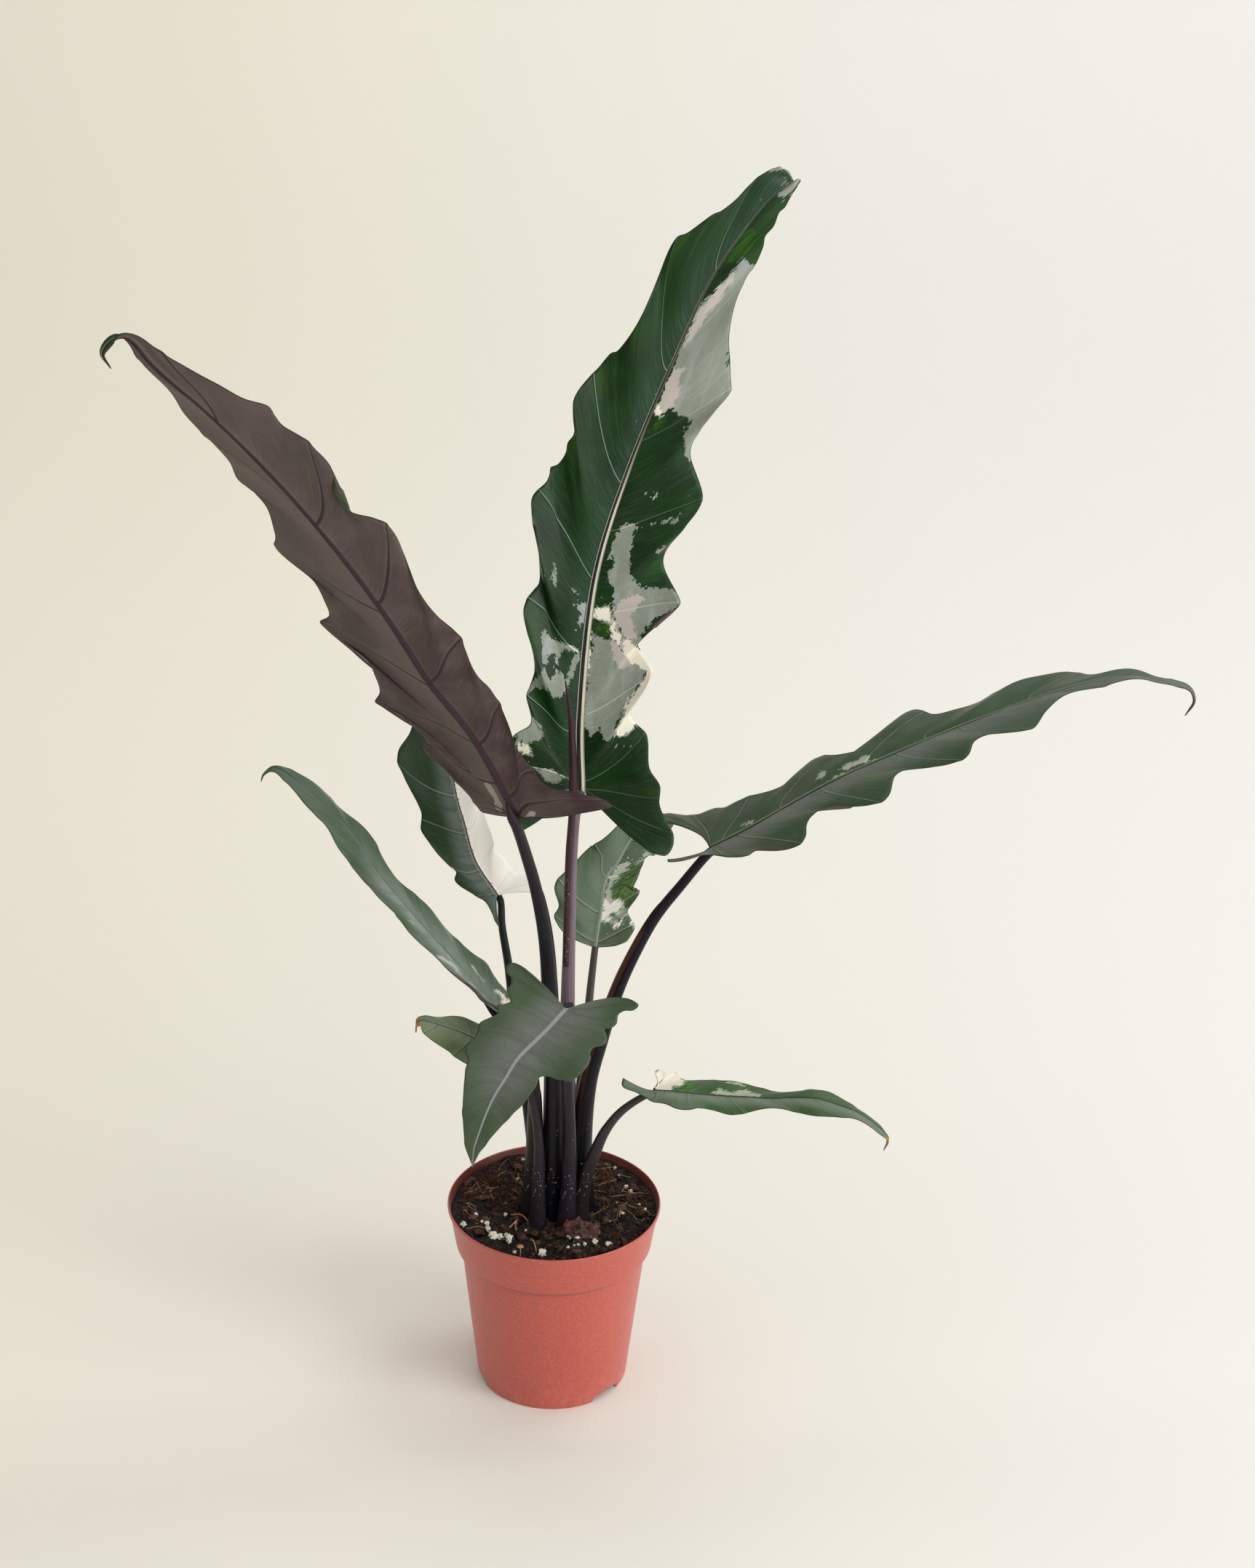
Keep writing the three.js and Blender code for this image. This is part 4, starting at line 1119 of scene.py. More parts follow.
def mix_material(name, first, second, third, grain, relief):
    """Crumbly stuff: three colours in grains of the given size in millimetres."""
    f = Finish(name)
    spot = f.place(1 / MM / grain)
    coarse = f.noise(spot, 0.35, 4, 0.65)
    fine = f.noise(spot, 2.2, 3, 0.7)
    f.base = f.blend(f.fade(f.add_up((coarse, 0.6), (fine, 0.45)), 0.42, 0.62), first, second)
    f.coat(third, f.math("GREATER_THAN", f.cells(spot, 1.3), 0.93))
    return f.done(0.3, ((fine, 0.25), (1, 0.66)), ((coarse, relief), (fine, relief * 0.4)))


def fibre_material(name, first, second, roughness=0.6):
    f = Finish(name)
    fine = f.noise(f.place(1500), 1, 2)
    f.base = f.blend(f.fade(f.noise(f.place(260), 1, 3), 0.35, 0.68), first, second)
    return f.done(0.35, ((fine, 0.2), (1, roughness - 0.1)), ((fine, 0.05),))


def paper_material():
    """Pale paper, of one colour at the left that drifts into another at the right; the warmer colour at
    the left is painted warm shade.
    """
    studio = settings().studio
    f = Finish("Studio paper")
    across = f.split(f.place())[0]
    tooth = f.noise(f.place(700), 1, 3)
    shade = f.fade(f.add_up((across, 1), (f.noise(f.place(0.7), 1, 2), 0.3)), -0.4, 0.75)
    f.base = f.blend(shade, studio.paper_left, studio.paper_right)
    f.coat(tint(190, 186, 176), tooth, 0.02)
    return f.done(0.2, ((tooth, 0.1), (1, 0.82)), ((tooth, 0.02),))


# Leaf blades

# Columns of each half and rows of a blade, how high it buckles, how far the margin stands out at the
# veins, how much of the ruffles is left, and the two turns that only one leaf has each
BLADES = {
    "tall": dict(columns=32, rows=300, buckle=0.9, tooth=0.3,
                 perk=dict(half=-1, start=340, reach=8, end=7, rise=6.5)),
    "left": dict(columns=32, rows=300, buckle=0.6, calm=0.3, tooth=0.8,
                 roll=dict(half=-1, center=0.604, span=0.034, reach=4.6, turn=172)),
    "right": dict(columns=28, rows=250, buckle=0.7, calm=0.7, tooth=0.8),
    "slender": dict(columns=22, rows=170, buckle=0.6, tooth=0.8),
    "front": dict(columns=24, rows=180, buckle=0.5, tooth=0.4),
    "low": dict(columns=22, rows=160, buckle=0.4, tooth=0.6),
    "cream": dict(columns=22, rows=140, buckle=0.6, tooth=0.6),
    "rear": dict(columns=20, rows=110, buckle=0.5, tooth=0.6),
    "small": dict(columns=18, rows=80, buckle=0.3, tooth=0.4),
}

# How far the columns crowd towards the midrib, the step along the margin that measures the spacing of
# the veins, how close two points are to become one, and the thickness that the wall's shares refer to
SPLAY = 1.22
MARGIN_STEP = 1e-3
BLADE_MERGE = 0.02
THICKEST = 3

# What differs from the common look, and the colours that it takes from the settings. rib has the
# midrib's left and right side, pairs of strengths are for the left and the right half, and the sheen
# haze, partly the blade's own bloom and partly painted sheen, lies at the margin where its strength is
# negative.
LOOKS = {
    "tall": dict(rib_width=(2.5, 0.4), rib_ends=(0.4, 0.56), rib_thin=tint(44, 58, 46),
                 rib_tip=0.12, gleam=0.8, gloss=0.22, haze=(0.27, -0.28), young=0.6,
                 vein_strength=(1, 0.3), vein=tint(108, 136, 112), lines=(0.15, 0.4),
                 rib_streak=0.35, rib_side=-0.25),
    "left": dict(show=0.6, cream=tint(196, 186, 170), reverse_base=tint(60, 40, 42),
                 reverse_width=(2.6, 0.7)),
    "right": dict(green=tint(40, 66, 38), second=tint(54, 74, 52), bloom_and_sheen=tint(104, 106, 104),
                  fine=tint(84, 102, 84), haze=(-0.3, 0.85), haze_span=22, young=0.12,
                  sage=tint(156, 160, 142), rib=(tint(96, 114, 94), tint(22, 28, 20)),
                  rib_width=(1.4, 0.5), rib_ends=(0.9, 1), vein=tint(122, 136, 120),
                  reverse=tint(84, 78, 72), flecks=1.24),
    "slender": dict(green=tint(51, 74, 47), second=tint(64, 84, 62), bloom_and_sheen=tint(132, 142, 134),
                    fine=tint(104, 122, 104), haze=(0.95, 0.6), haze_span=18, young=0.1,
                    haze_end=0.42, sage=tint(166, 172, 158), sage_shade=tint(142, 151, 136),
                    rib=(tint(120, 132, 120), tint(56, 72, 56)), rib_width=(1.2, 0.5),
                    rib_ends=(0.9, 1), vein=tint(112, 130, 110), vein_strength=(0.3, 0.3),
                    flecks=1.27, reverse=tint(88, 82, 76), lines=(0.3, 0.5),
                    tip=(tint(118, 90, 72), 0.5)),
    "front": dict(green=tint(56, 79, 46), second=tint(70, 85, 64), bloom_and_sheen=tint(110, 112, 110),
                  fine=tint(92, 104, 90), haze=(0.85, 0.85), haze_span=24, young=0.1,
                  haze_end=0.48, rib=(tint(160, 158, 160), tint(148, 146, 148)), rib_width=(1.1, 0.4),
                  rib_ends=(0.85, 1), rib_thin=tint(116, 134, 106), vein=tint(96, 102, 92),
                  vein_strength=(0.1, 0.1), groove=tint(40, 54, 38), matt=0.3, flecks=1.4,
                  hem=0.3, lines=(0.3, 0.45)),
    "low": dict(green=tint(50, 82, 38), second=tint(60, 88, 52), bloom_and_sheen=tint(118, 132, 116),
                fine=tint(104, 126, 98), haze=(-0.2, 0.8), haze_span=14, young=0.35,
                rib=(tint(38, 46, 34), tint(38, 46, 34)), rib_width=(0.7, 0.35),
                rib_ends=(0.9, 1), vein=tint(132, 148, 128), vein_strength=(0.3, 0.3),
                sage=tint(176, 184, 158), sage_shade=tint(150, 160, 136), flecks=1.27,
                lime=tint(70, 122, 26), lines=(0.3, 0.5), tip=(tint(150, 130, 84), 1.2)),
    "cream": dict(green=tint(22, 48, 16), second=tint(30, 52, 28), bloom_and_sheen=tint(106, 116, 108),
                  fine=tint(62, 86, 62), haze=(0.8, -0.1), haze_span=13, young=0.1,
                  rib=(tint(136, 142, 134), tint(70, 50, 54)), rib_width=(0.9, 0.5),
                  rib_ends=(0.8, 1), cream=tint(252, 247, 238), pale_vein=tint(226, 214, 202),
                  vein=tint(136, 150, 134), flecks=1.4, reverse=tint(214, 208, 190),
                  vein_strength=(0.45, 0.3)),
    "rear": dict(green=tint(74, 96, 66), second=tint(88, 106, 82), bloom_and_sheen=tint(122, 134, 122),
                 fine=tint(108, 126, 104), haze=(0.4, 0.2), young=0.1, cream=tint(246, 242, 234),
                 lime=tint(84, 114, 50), lines=(0.3, 0.5),
                 rib=(tint(132, 144, 126), tint(158, 166, 148)), rib_width=(1.0, 0.5),
                 rib_ends=(0.95, 1), vein=tint(160, 172, 150), vein_strength=(0.45, 0.45),
                 sage=tint(190, 198, 174), sage_shade=tint(160, 172, 148), flecks=1.2,
                 fleck_reach=9),
    "small": dict(green=tint(104, 124, 82), second=tint(120, 134, 100), bloom_and_sheen=tint(148, 158, 138),
                  fine=tint(126, 146, 112), haze=(0.8, 0.3), haze_span=12, young=0.3,
                  rib=(tint(60, 74, 52), tint(172, 176, 158)), rib_width=(0.8, 0.4),
                  rib_ends=(0.6, 0.9), vein=tint(150, 164, 134), vein_strength=(0.4, 0.4),
                  flecks=1.4, lines=(0.3, 0.5), tip=(tint(186, 116, 70), 1.0)),
}
PALETTE = ("green", "second", "bloom_and_sheen", "fine", "lime", "sage", "sage_shade", "cream", "vein")


def blade_look(name, length):
    """The look of a blade that is so many millimetres long: its own values over the common ones."""
    leaf = settings().foliage
    own = LOOKS[name]
    reverse = own.get("reverse", leaf.reverse)
    return merged(
        own, **{key: getattr(leaf, key) for key in PALETTE}, length=length / CM,
        # The common midrib's dark first side is partly painted shade of the rounded rib
        pale_vein=leaf.cream, groove=tint(14, 22, 14), rib=(tint(24, 26, 22), leaf.rib),
        rib_thin=tint(64, 84, 62), reverse=reverse, reverse_base=reverse,
        tip=(tint(120, 96, 74), 0.4), haze=(0.45, -0.4), haze_span=17, haze_end=2,
        lines=(0.2, 0.5), young=0.5, flecks=1.21, fleck_reach=14, vein_strength=(0.55, 0.55),
        hem=0.6, rib_width=(1.9, 0.5), rib_ends=(0.5, 0.72), rib_tip=0.25, rib_streak=0.15,
        rib_side=-0.1, gleam=0, gloss=0.3, matt=0.2, reverse_width=(1.7, 0.5), show=0.35)


def blade_points(name, surface):
    """The points of a blade laid flat, and where each lies between the veins and the margins."""
    make = BLADES[name]
    u = np.linspace(-1, 1, 2 * make["columns"] + 1)
    u = np.sign(u) * np.abs(u) ** SPLAY
    u, v = (a.ravel() for a in np.meshgrid(u, np.linspace(0, 1, make["rows"] + 1)))
    x, y, ruffle, width = surface.flat(u, v)
    count, share = vein_count(name, u, v)
    ahead, behind = np.minimum(v + MARGIN_STEP, 1), np.maximum(v - MARGIN_STEP, 0)
    run = surface.point(*surface.flat(u, ahead)[:3]) - surface.point(*surface.flat(u, behind)[:3])
    spacing = 0.8 * np.linalg.norm(run, axis=-1) / (ahead - behind) * share
    out = np.abs(u)
    off_vein = np.abs(count - np.round(count)) * spacing
    x = x + np.sign(u) * make["tooth"] * np.exp(-(off_vein / 2.2) ** 2) * out ** 9
    return SimpleNamespace(
        v=v, half=np.sign(u), out=out, x=x, y=y, flat=np.stack([x, y], -1),
        height=ruffle * make.get("calm", 1), width=width, from_edge=(1 - out) * width,
        part=held(y / surface.length), left=surface.length - y, count=count, spacing=spacing)


def raise_blade(name, at):
    """Adds the pillows between the veins, the buckles and the midrib's crest to the heights."""
    pillow = np.sin(np.pi * at.count) ** 2 * np.sin(np.pi * held(at.out)) ** 0.8
    at.height = at.height + settings().foliage.pillow / MM * pillow * held(at.spacing / 25)
    at.height += BLADES[name]["buckle"] * swell(at.flat, 38, len(name)) * at.out * (1.2 - at.out)
    at.height += 0.5 * np.exp(-(at.x / 1.1) ** 2) * (1 - at.part)


def perk_tip(at, half, start, reach, end, rise):
    """Lifts one half near the tip, from start over reach, and not in the last millimetres."""
    far = held((at.y - start) / reach) * held(at.left / end) ** 0.5 * held(np.abs(at.x) / 3)
    at.height += rise * far * at.out * (at.half == half)


def roll_margin(at, half, center, span, reach, turn):
    """Rolls the outer strip of one half down by the turn, around part of the margin."""
    side = np.sign(at.x)
    part = np.exp(-((at.v - center) / span) ** 2) * (side == half)
    run = reach * held(1 - at.from_edge / reach)
    radius = reach / np.maximum(math.radians(turn) * part, 0.02)
    at.x = at.x + side * 0.75 * reach * part * at.out ** 3
    at.x += side * (radius * np.sin(run / radius) - run)
    at.height = at.height - radius * (1 - np.cos(run / radius))


def blade_fields(name, at):
    """What the materials read at each point: places in centimetres, all else in millimetres."""
    patches = PATCHES.get(name, {})
    sage, cream, lime, blush, islands = (
        depth_inside(at.flat, patches.get(tone, ()))
        for tone in ("sage", "cream", "lime", "blush", "islands"))
    sage = np.maximum(np.minimum(sage, -islands), cream + 1)
    x, y = at.flat.T
    half = np.where(at.half < 0, -1.0, 1.0)
    values = dict(lay=(x / CM, y / CM, half), veins=(at.count, np.abs(x) / CM, at.spacing),
                  rims=(np.abs(x), at.from_edge, blush), tones=(sage, cream, lime))
    return {key: np.stack(value, -1) for key, value in values.items()}


def blade_depth(at):
    """The blade's thickness at each point: thin at the margin, with a ridge along the midrib."""
    ridge = 2.2 * np.exp(-(at.flat[:, 0] / 1.6) ** 2) * (1 - at.part) ** 0.6
    return BLADE * (0.4 + 0.6 * held(at.from_edge / 2.5)) + ridge * held(at.part / 0.03)


def blade_piece(name):
    """A blade: its surface with the fields of the materials, walled by a solidify modifier."""
    make = BLADES[name]
    surface = LeafSurface(LEAVES[name])
    at = blade_points(name, surface)
    raise_blade(name, at)
    if "perk" in make:
        perk_tip(at, **make["perk"])
    if "roll" in make:
        roll_margin(at, **make["roll"])
    bm = bmesh.new()
    bm.verts.layers.deform.verify()
    places = surface.point(at.x, at.y, at.height) * MM
    verts = place_grid(bm, 2 * make["columns"], make["rows"], places, blade_fields(name, at))
    shares = bm.verts.layers.deform.verify()
    for vert, depth in zip(verts, blade_depth(at)):
        vert[shares][0] = depth / THICKEST
    bmesh.ops.remove_doubles(bm, verts=bm.verts, dist=BLADE_MERGE * MM)
    look = blade_look(name, surface.length)
    sides = [side(name.capitalize(), look) for side in (upper_side, lower_side)]
    piece = finish_mesh(bm, f"leaf_{name}", *sides, recalc=False)
    piece.vertex_groups.new(name="Thickness")
    wall = piece.modifiers.new("Thickness", "SOLIDIFY")
    wall.thickness = THICKEST * MM
    wall.offset = -1
    wall.vertex_group = "Thickness"
    wall.material_offset = 1
    wall.material_offset_rim = 0
    return dress(piece, f"leaf_{name}", f"blade_{name}")


# Stalks and the rolled leaf

# How far a stalk runs on under its blade, the step between its rings and the points round a ring
RUN_ON = 13
RING_STEP = 2.2
AROUND = 40

# The rolled leaf: points and radii
ROLLED = dict(
    path=((4.6, 1, 262), (4.9, 1, 300), (5.6, 0, 330), (6.7, -0.5, 352), (7.2, -0.5, 371),
          (6.5, 0, 391), (5.1, 1, 410), (2.2, 3, 428)),
    radii=(1.9, 1.9, 2, 1.9, 2.3, 2, 1.3, 0.4),
)

# What differs from the common look of a stalk. The fade from dark to top is in centimetres along it,
# and a strip is (turn, low, high).
STALK_LOOKS = {
    "tall": dict(top=tint(114, 97, 106), fade=(5, 13), streaks=0.75, streak=tint(150, 138, 142),
                 brown=0.12),
    "left": dict(top=tint(40, 23, 31), fade=(21, 29)),
    "right": dict(strip=(math.radians(150), 8, 20)),
    "slender": dict(dark=tint(34, 30, 33)),
    "rear": dict(dark=tint(46, 40, 40), top=tint(78, 70, 66), fade=(4, 10), brown=0.2),
    "low": dict(dark=tint(34, 30, 28), top=tint(66, 56, 58), fade=(4, 10), brown=0.3),
    "front": dict(dark=tint(36, 31, 38)),
    "small": dict(dark=tint(36, 31, 36), brown=0.15),
}


def stalk_piece(name):
    """A stalk that follows its path and runs on under the blade."""
    leaf = LEAVES[name]
    wide, thin = leaf["radius"]
    top, wing, turn = leaf["sheath"]
    turn = math.radians(turn)
    under = -(BLADE + thin + GAP)
    ends = LeafSurface(leaf).point(np.zeros(3), np.array((-3.0, 4.0, RUN_ON)),
                                   np.array((under, under, -2.4)))
    curve = Smooth(leaf["path"] + tuple(map(tuple, ends)))
    low = leaf["path"][0][2]
    last = 1 - RUN_ON / curve.length

    def width(part, angle):
        """Tapers the stalk, flares it at its foot and gives its sheath a back and two lips."""
        z = curve.at(part)[..., 2]
        taper = thin + (wide - thin) * (1 - part) ** 1.3
        taper = taper * (1 - 0.75 * held((part - last) / (1 - last)) ** 1.5)
        rise = held((top - z) / (top - low)) ** 0.35
        opening = 0.95 * rise
        lips = sum(np.exp(-((np.cos((angle - turn - s * opening) / 2) - 1) / 0.012) ** 2)
                   for s in (-1, 1))
        back = np.maximum(0, np.cos(angle - turn)) ** 2
        above = np.maximum(z - SOIL_TOP, 0)
        flare = 0.9 * np.exp(-above / 16) + 1.1 * np.exp(-above / 60)
        return taper + flare + wing * rise * (0.55 * back + 0.6 * lips)

    bm = bmesh.new()
    add_tube(bm, curve, int(curve.length / RING_STEP), AROUND, width, "stalk")
    skin = stalk_material(name.capitalize(), STALK_LOOKS.get(name, {}))
    return dress(finish_mesh(bm, f"stalk_{name}", skin), "petiole", f"petiole_{name}")


def rolled_piece():
    """The new leaf, a tapered tube with its outer edge wound round it."""
    curve = Smooth(ROLLED["path"])
    radii = Smooth([(r, i) for i, r in enumerate(ROLLED["radii"])])

    def width(part, angle):
        """Winds the edge of the rolled blade once round on its way up."""
        plain = radii.by_point(np.interp(part * curve.length, curve.lengths, curve.scale))[..., 0]
        overlap = np.mod(angle - 1.2 + 1.6 * part, 2 * np.pi) / (2 * np.pi)
        return plain * (1 + 0.09 * (overlap - 0.5) * held(part * 4 - 1))

    bm = bmesh.new()
    add_tube(bm, curve, 90, AROUND, width, "stalk")
    look = dict(dark=settings().stalks.young, top=tint(56, 32, 38), streak=tint(112, 80, 84),
                streaks=0.4, matt=0.2)
    skin = stalk_material("New leaf", look)
    return dress(finish_mesh(bm, "new_leaf", skin), "new_leaf", "rolled_leaf")


# Pot and mix

def eased(profile, reach=0.55):
    """The profile with each corner rounded off by a short curve."""
    points = [Vector(p) for p in profile]
    made = [points[0]]
    for before, corner, after in zip(points, points[1:], points[2:]):
        back, on = before - corner, after - corner
        a = corner + back.normalized() * min(reach, back.length * 0.4)
        b = corner + on.normalized() * min(reach, on.length * 0.4)
        made += [a.lerp(corner, t).lerp(corner.lerp(b, t), t) for t in (0, 0.33, 0.67, 1)]
    return made + [points[-1]]


def divided(profile, step=6):
    """The profile with long stretches cut into steps."""
    made = [profile[0]]
    for a, b in zip(profile, profile[1:]):
        count = max(1, math.ceil((b - a).length / step))
        made += [a.lerp(b, (i + 1) / count) for i in range(count)]
    return made


def pot_piece():
    bm = bmesh.new()
    spin_profile(bm, divided(eased(POT_PROFILE)), settings().pot.sides)
    for vert in bm.verts:
        cut_notch(vert)
        wobble = noise.noise(vert.co * 18) * 0.12 * MM
        out = Vector((vert.co.x, vert.co.y, 0))
        if vert.co.z > 6 * MM and out.length > 0.1 * MM:
            vert.co += out.normalized() * wobble
    return dress(finish_mesh(bm, "nursery_pot", pot_material()), "pot_plastic", "pot")


def cut_notch(vert):
    """Raises the foot of the wall over each notch."""
    if math.hypot(vert.co.x, vert.co.y) / MM < FOOT["radius"] or vert.co.z > FOOT["top"] * MM:
        return
    turn = math.degrees(math.atan2(vert.co.y, vert.co.x))
    for center in NOTCH["turns"]:
        off = abs((turn - center + 180) % 360 - 180)
        share = min(1, max(0, (NOTCH["half"] + 1 - off) / 2))
        vert.co.z += share * max(0, NOTCH["height"] * MM - vert.co.z)


def soil_height(x, y):
    """The top of the mix, in millimetres."""
    out = math.hypot(x, y) / SOIL_EDGE
    lumps = math.sin(0.21 * x + 1) * math.cos(0.24 * y) + 0.6 * math.sin(0.43 * x - 0.37 * y)
    slope = 1.5 * (1 - out ** 2) + 0.7 * y / SOIL_EDGE
    return SOIL_TOP + 1.2 * lumps * (1 - 0.5 * out) + slope + TOP_UP * out ** 2


def crumble(x, y):
    """Finer lumps and pits, in millimetres."""
    spot = Vector((x, y, 0))
    coarse = noise.fractal(spot * 0.13, 0.8, 2.1, 4)
    fine = noise.hetero_terrain(spot * 0.45, 0.7, 2.0, 3, 0.2)
    return 2.4 * coarse + 0.6 * fine - 0.4


def disc_place(a, b):
    """Maps a square's place to a disc without a pole."""
    return a * math.sqrt(1 - b * b / 2), b * math.sqrt(1 - a * a / 2)


def grown_parts(grown, kind):
    """The vertices or edges that an extrusion has made."""
    return [part for part in grown["geom"] if isinstance(part, kind)]


def soil_piece(cells=150):
    """The mix: a crumbly top with a skirt that runs down inside the pot."""
    bm = bmesh.new()
    for vert in bmesh.ops.create_grid(bm, x_segments=cells, y_segments=cells, size=1)["verts"]:
        x, y = (TOP_EDGE * c for c in disc_place(vert.co.x, vert.co.y))
        rim = min(1, max(0, (TOP_EDGE - math.hypot(x, y)) / 3))
        vert.co = Vector((x, y, soil_height(x, y) + crumble(x, y) * rim)) * MM
    edge = [e for e in bm.edges if e.is_boundary]
    for radius, level in SOIL_SKIRT:
        grown = bmesh.ops.extrude_edge_only(bm, edges=edge)
        edge = grown_parts(grown, bmesh.types.BMEdge)
        for vert in grown_parts(grown, bmesh.types.BMVert):
            out = Vector((vert.co.x, vert.co.y, 0)).normalized()
            vert.co = out * radius * MM + Vector((0, 0, level * MM))
    bmesh.ops.remove_doubles(bm, verts=bm.verts, dist=MERGE)
    mix = settings().mix
    peat = mix_material("Peat", mix.peat, tuple(c * 0.4 for c in mix.peat), mix.crumb, 1.3, 0.8)
    return dress(finish_mesh(bm, "potting_mix", peat), "potting_mix", "soil")


# Litter on the mix

# Grains of perlite as seen from the front: x, y and size
PERLITE = (
    (-50, -17, 2.1), (-44, -6.5, 1.8), (-37, -15, 1.8), (-40, -13, 1.2), (-33, -28.5, 3.2),
    (-29, -28.5, 2.2), (-24, -29, 2.3), (-24, -32, 1.8), (-36, -21, 2.2), (10, -26.5, 2.2),
    (14, -31, 2.9), (23.5, -30.5, 2.2), (31, -33, 2.1), (9, -37, 1.2), (12.5, -35, 1.1),
    (-5, -43.5, 2.7), (36.5, 50.5, 1.3), (20, -16, 1.2), (-15, -21, 1.1), (-13, 24, 0.9),
    (36, 38, 1), (-27, -5, 1.3), (48, 8, 1.1),
)
SPARE_PERLITE = 26

# Bark: the largest piece, and chips as x, y, length, width, height and turn
CHUNK = dict(at=(16, -23), size=(9.6, 6.4, 6))
CHIPS = (
    (-42, 11.5, 12, 3.2, 2.2, 0), (-45, -9, 6, 4, 3, 20), (-38, -11, 5, 4, 3, -10),
    (37, -17, 3.4, 3, 2.2, 0), (14, -41, 5.5, 3.2, 2.6, -15), (38, 4, 7, 5, 3, 30),
    (28, 12, 5, 4, 3, -40), (-8, -33, 4, 3, 2, 50), (-50, 28, 9, 4, 3, 60), (10, 42, 8, 5, 3, 15),
    (-22, 44, 7, 5, 3, -35), (44, 26, 6, 4, 3, 75),
)

# Where coir lies thickly: out from the middle, angle and spread, and the share of the bundles there
COIR_SPOTS = ((43, 38, 16, 0.4), (46, 8, 10, 0.16), (47, 140, 14, 0.24), (34, 160, 12, 0.08))

# Thicker roots and splinters at the front, and how many points a loose fibre has
ROOTS = (
    ((-12, -32, 106.5), (-10.5, -35, 108), (-9.2, -39, 107.6), (-8.3, -43, 105.8)),
    ((-28, -26, 105.5), (-24, -20, 106.6), (-20, -13, 107.4)),
    ((-20.5, -22, 106), (-21, -17, 107), (-20, -11, 107.2)),
    ((-14, -13, 106), (-18, -10, 108.4), (-24, -8, 107)),
)
FIBRE_POINTS = 6

# The mushroom's place and its cap as (radius, height) round the end of the stem
MUSHROOM = (-17.1, -46.5)
CAP = ((0, 0.8), (0.8, 0.7), (1.5, 0.4), (1.9, 0), (1.6, -0.12), (0.3, 0.02), (0, 0.02))

# How far from the pot's axis things lie at most: fibres, the starts of bundles and what was seen
WALL = 56.8
BUNDLE_REACH = 55.5
COIR_REACH = 54
SEEN_REACH = 54.5


def lump(bm, center, size, seed, turn=0.0, detail=2, rough=0.25):
    """A rough lump of the given half sizes."""
    made = bmesh.ops.create_icosphere(bm, subdivisions=detail, radius=1)["verts"]
    spin = Matrix.Rotation(math.radians(turn), 3, "Z")
    shift = Vector((seed * 3.7, seed * 1.3, 0))
    for vert in made:
        push = 1 + rough * noise.fractal(vert.co * 1.6 + shift, 0.9, 2.0, 3)
        vert.co = (Vector(center) + spin @ Vector(c * s * push for c, s in zip(vert.co, size))) * MM


def on_soil(x, y, sink=0.0):
    return (x, y, soil_height(x, y) - sink)


def as_seen(x, y):
    """Moves a place that was read at the firm mix's level to where the raised mix shows it."""
    seen = y
    fall = (CAMERA["at"][2] - SOIL_TOP) / -CAMERA["at"][1]
    for _ in range(3):
        y = seen - (soil_height(x, y) - SOIL_TOP - 1) / fall
    far = max(1, math.hypot(x, y) / SEEN_REACH)
    return x / far, y / far


def free_spot(rng, reach=53.0, clear=11.0):
    """A random place on the mix, away from the stalks."""
    while True:
        x, y = rng.uniform(-reach, reach), rng.uniform(-reach, reach)
        if math.hypot(x, y) < reach and math.hypot((x - 4) / 1.5, y) > clear:
            return x, y


def coir_spot(rng):
    """A place for a bundle of fibres."""
    pick = rng.random()
    for reach, turn, spread, share in COIR_SPOTS:
        pick -= share
        if pick < 0:
            turn = math.radians(turn)
            x = reach * math.cos(turn) + rng.gauss(0, spread)
            y = reach * math.sin(turn) + rng.gauss(0, spread)
            if math.hypot(x, y) < COIR_REACH:
                return x, y
    return free_spot(rng)


def fibre_path(rng, x, y, turn, length, lift, curl=0.2):
    """The points of a loose fibre that starts on the mix and runs the way it is turned."""
    bend = rng.uniform(-curl, curl)
    z = soil_height(x, y) + rng.uniform(0.2, 1.4)
    step = length / (FIBRE_POINTS - 1)
    points = []
    for _ in range(FIBRE_POINTS):
        points.append((x, y, z))
        turn += bend + rng.uniform(-0.7, 0.7) * curl
        if math.hypot(x + step * math.cos(turn), y + step * math.sin(turn)) > WALL:
            turn += math.pi * 0.6
        x, y = x + step * math.cos(turn), y + step * math.sin(turn)
        z = max(soil_height(x, y) + 0.3, z + lift * rng.uniform(-0.6, 1))
    return points


def fill_perlite(bm, rng, mix):
    grains = [(*as_seen(x, y), size) for x, y, size in PERLITE]
    grains += [(*free_spot(rng), rng.uniform(0.6, 1.5)) for _ in range(SPARE_PERLITE)]
    for i, (x, y, size) in enumerate(grains):
        flat = (size * 0.84, size * rng.uniform(0.65, 0.85), size * 0.7)
        lump(bm, on_soil(x, y, -size * 0.35), flat, i, rng.uniform(0, 180), 3, 0.6)
    return mix_material("Perlite", mix.perlite, tint(200, 194, 170), tint(240, 238, 230), 0.8, 0.3)


def fill_bark(bm, rng, mix):
    x, y = as_seen(*CHUNK["at"])
    lump(bm, on_soil(x, y, -2), CHUNK["size"], 31, -8, 5, 0.6)
    lump(bm, on_soil(x - 6, y + 1, -2.6), (4.6, 4, 4), 37, 0, 4, 0.6)
    for i, (x, y, *size, turn) in enumerate(CHIPS):
        lump(bm, on_soil(*as_seen(x, y), -0.5), [s / 2 for s in size], 50 + i, turn, 3, 0.4)
    for i in range(mix.chips):
        x, y = free_spot(rng)
        size = [rng.uniform(*span) for span in ((0.9, 2.4), (0.6, 1.4), (0.4, 0.9))]
        lump(bm, on_soil(x, y), size, 90 + i, rng.uniform(0, 180), 2, 0.4)
    return mix_material("Bark", mix.bark, tint(62, 40, 34), tint(124, 94, 86), 1.1, 0.7)


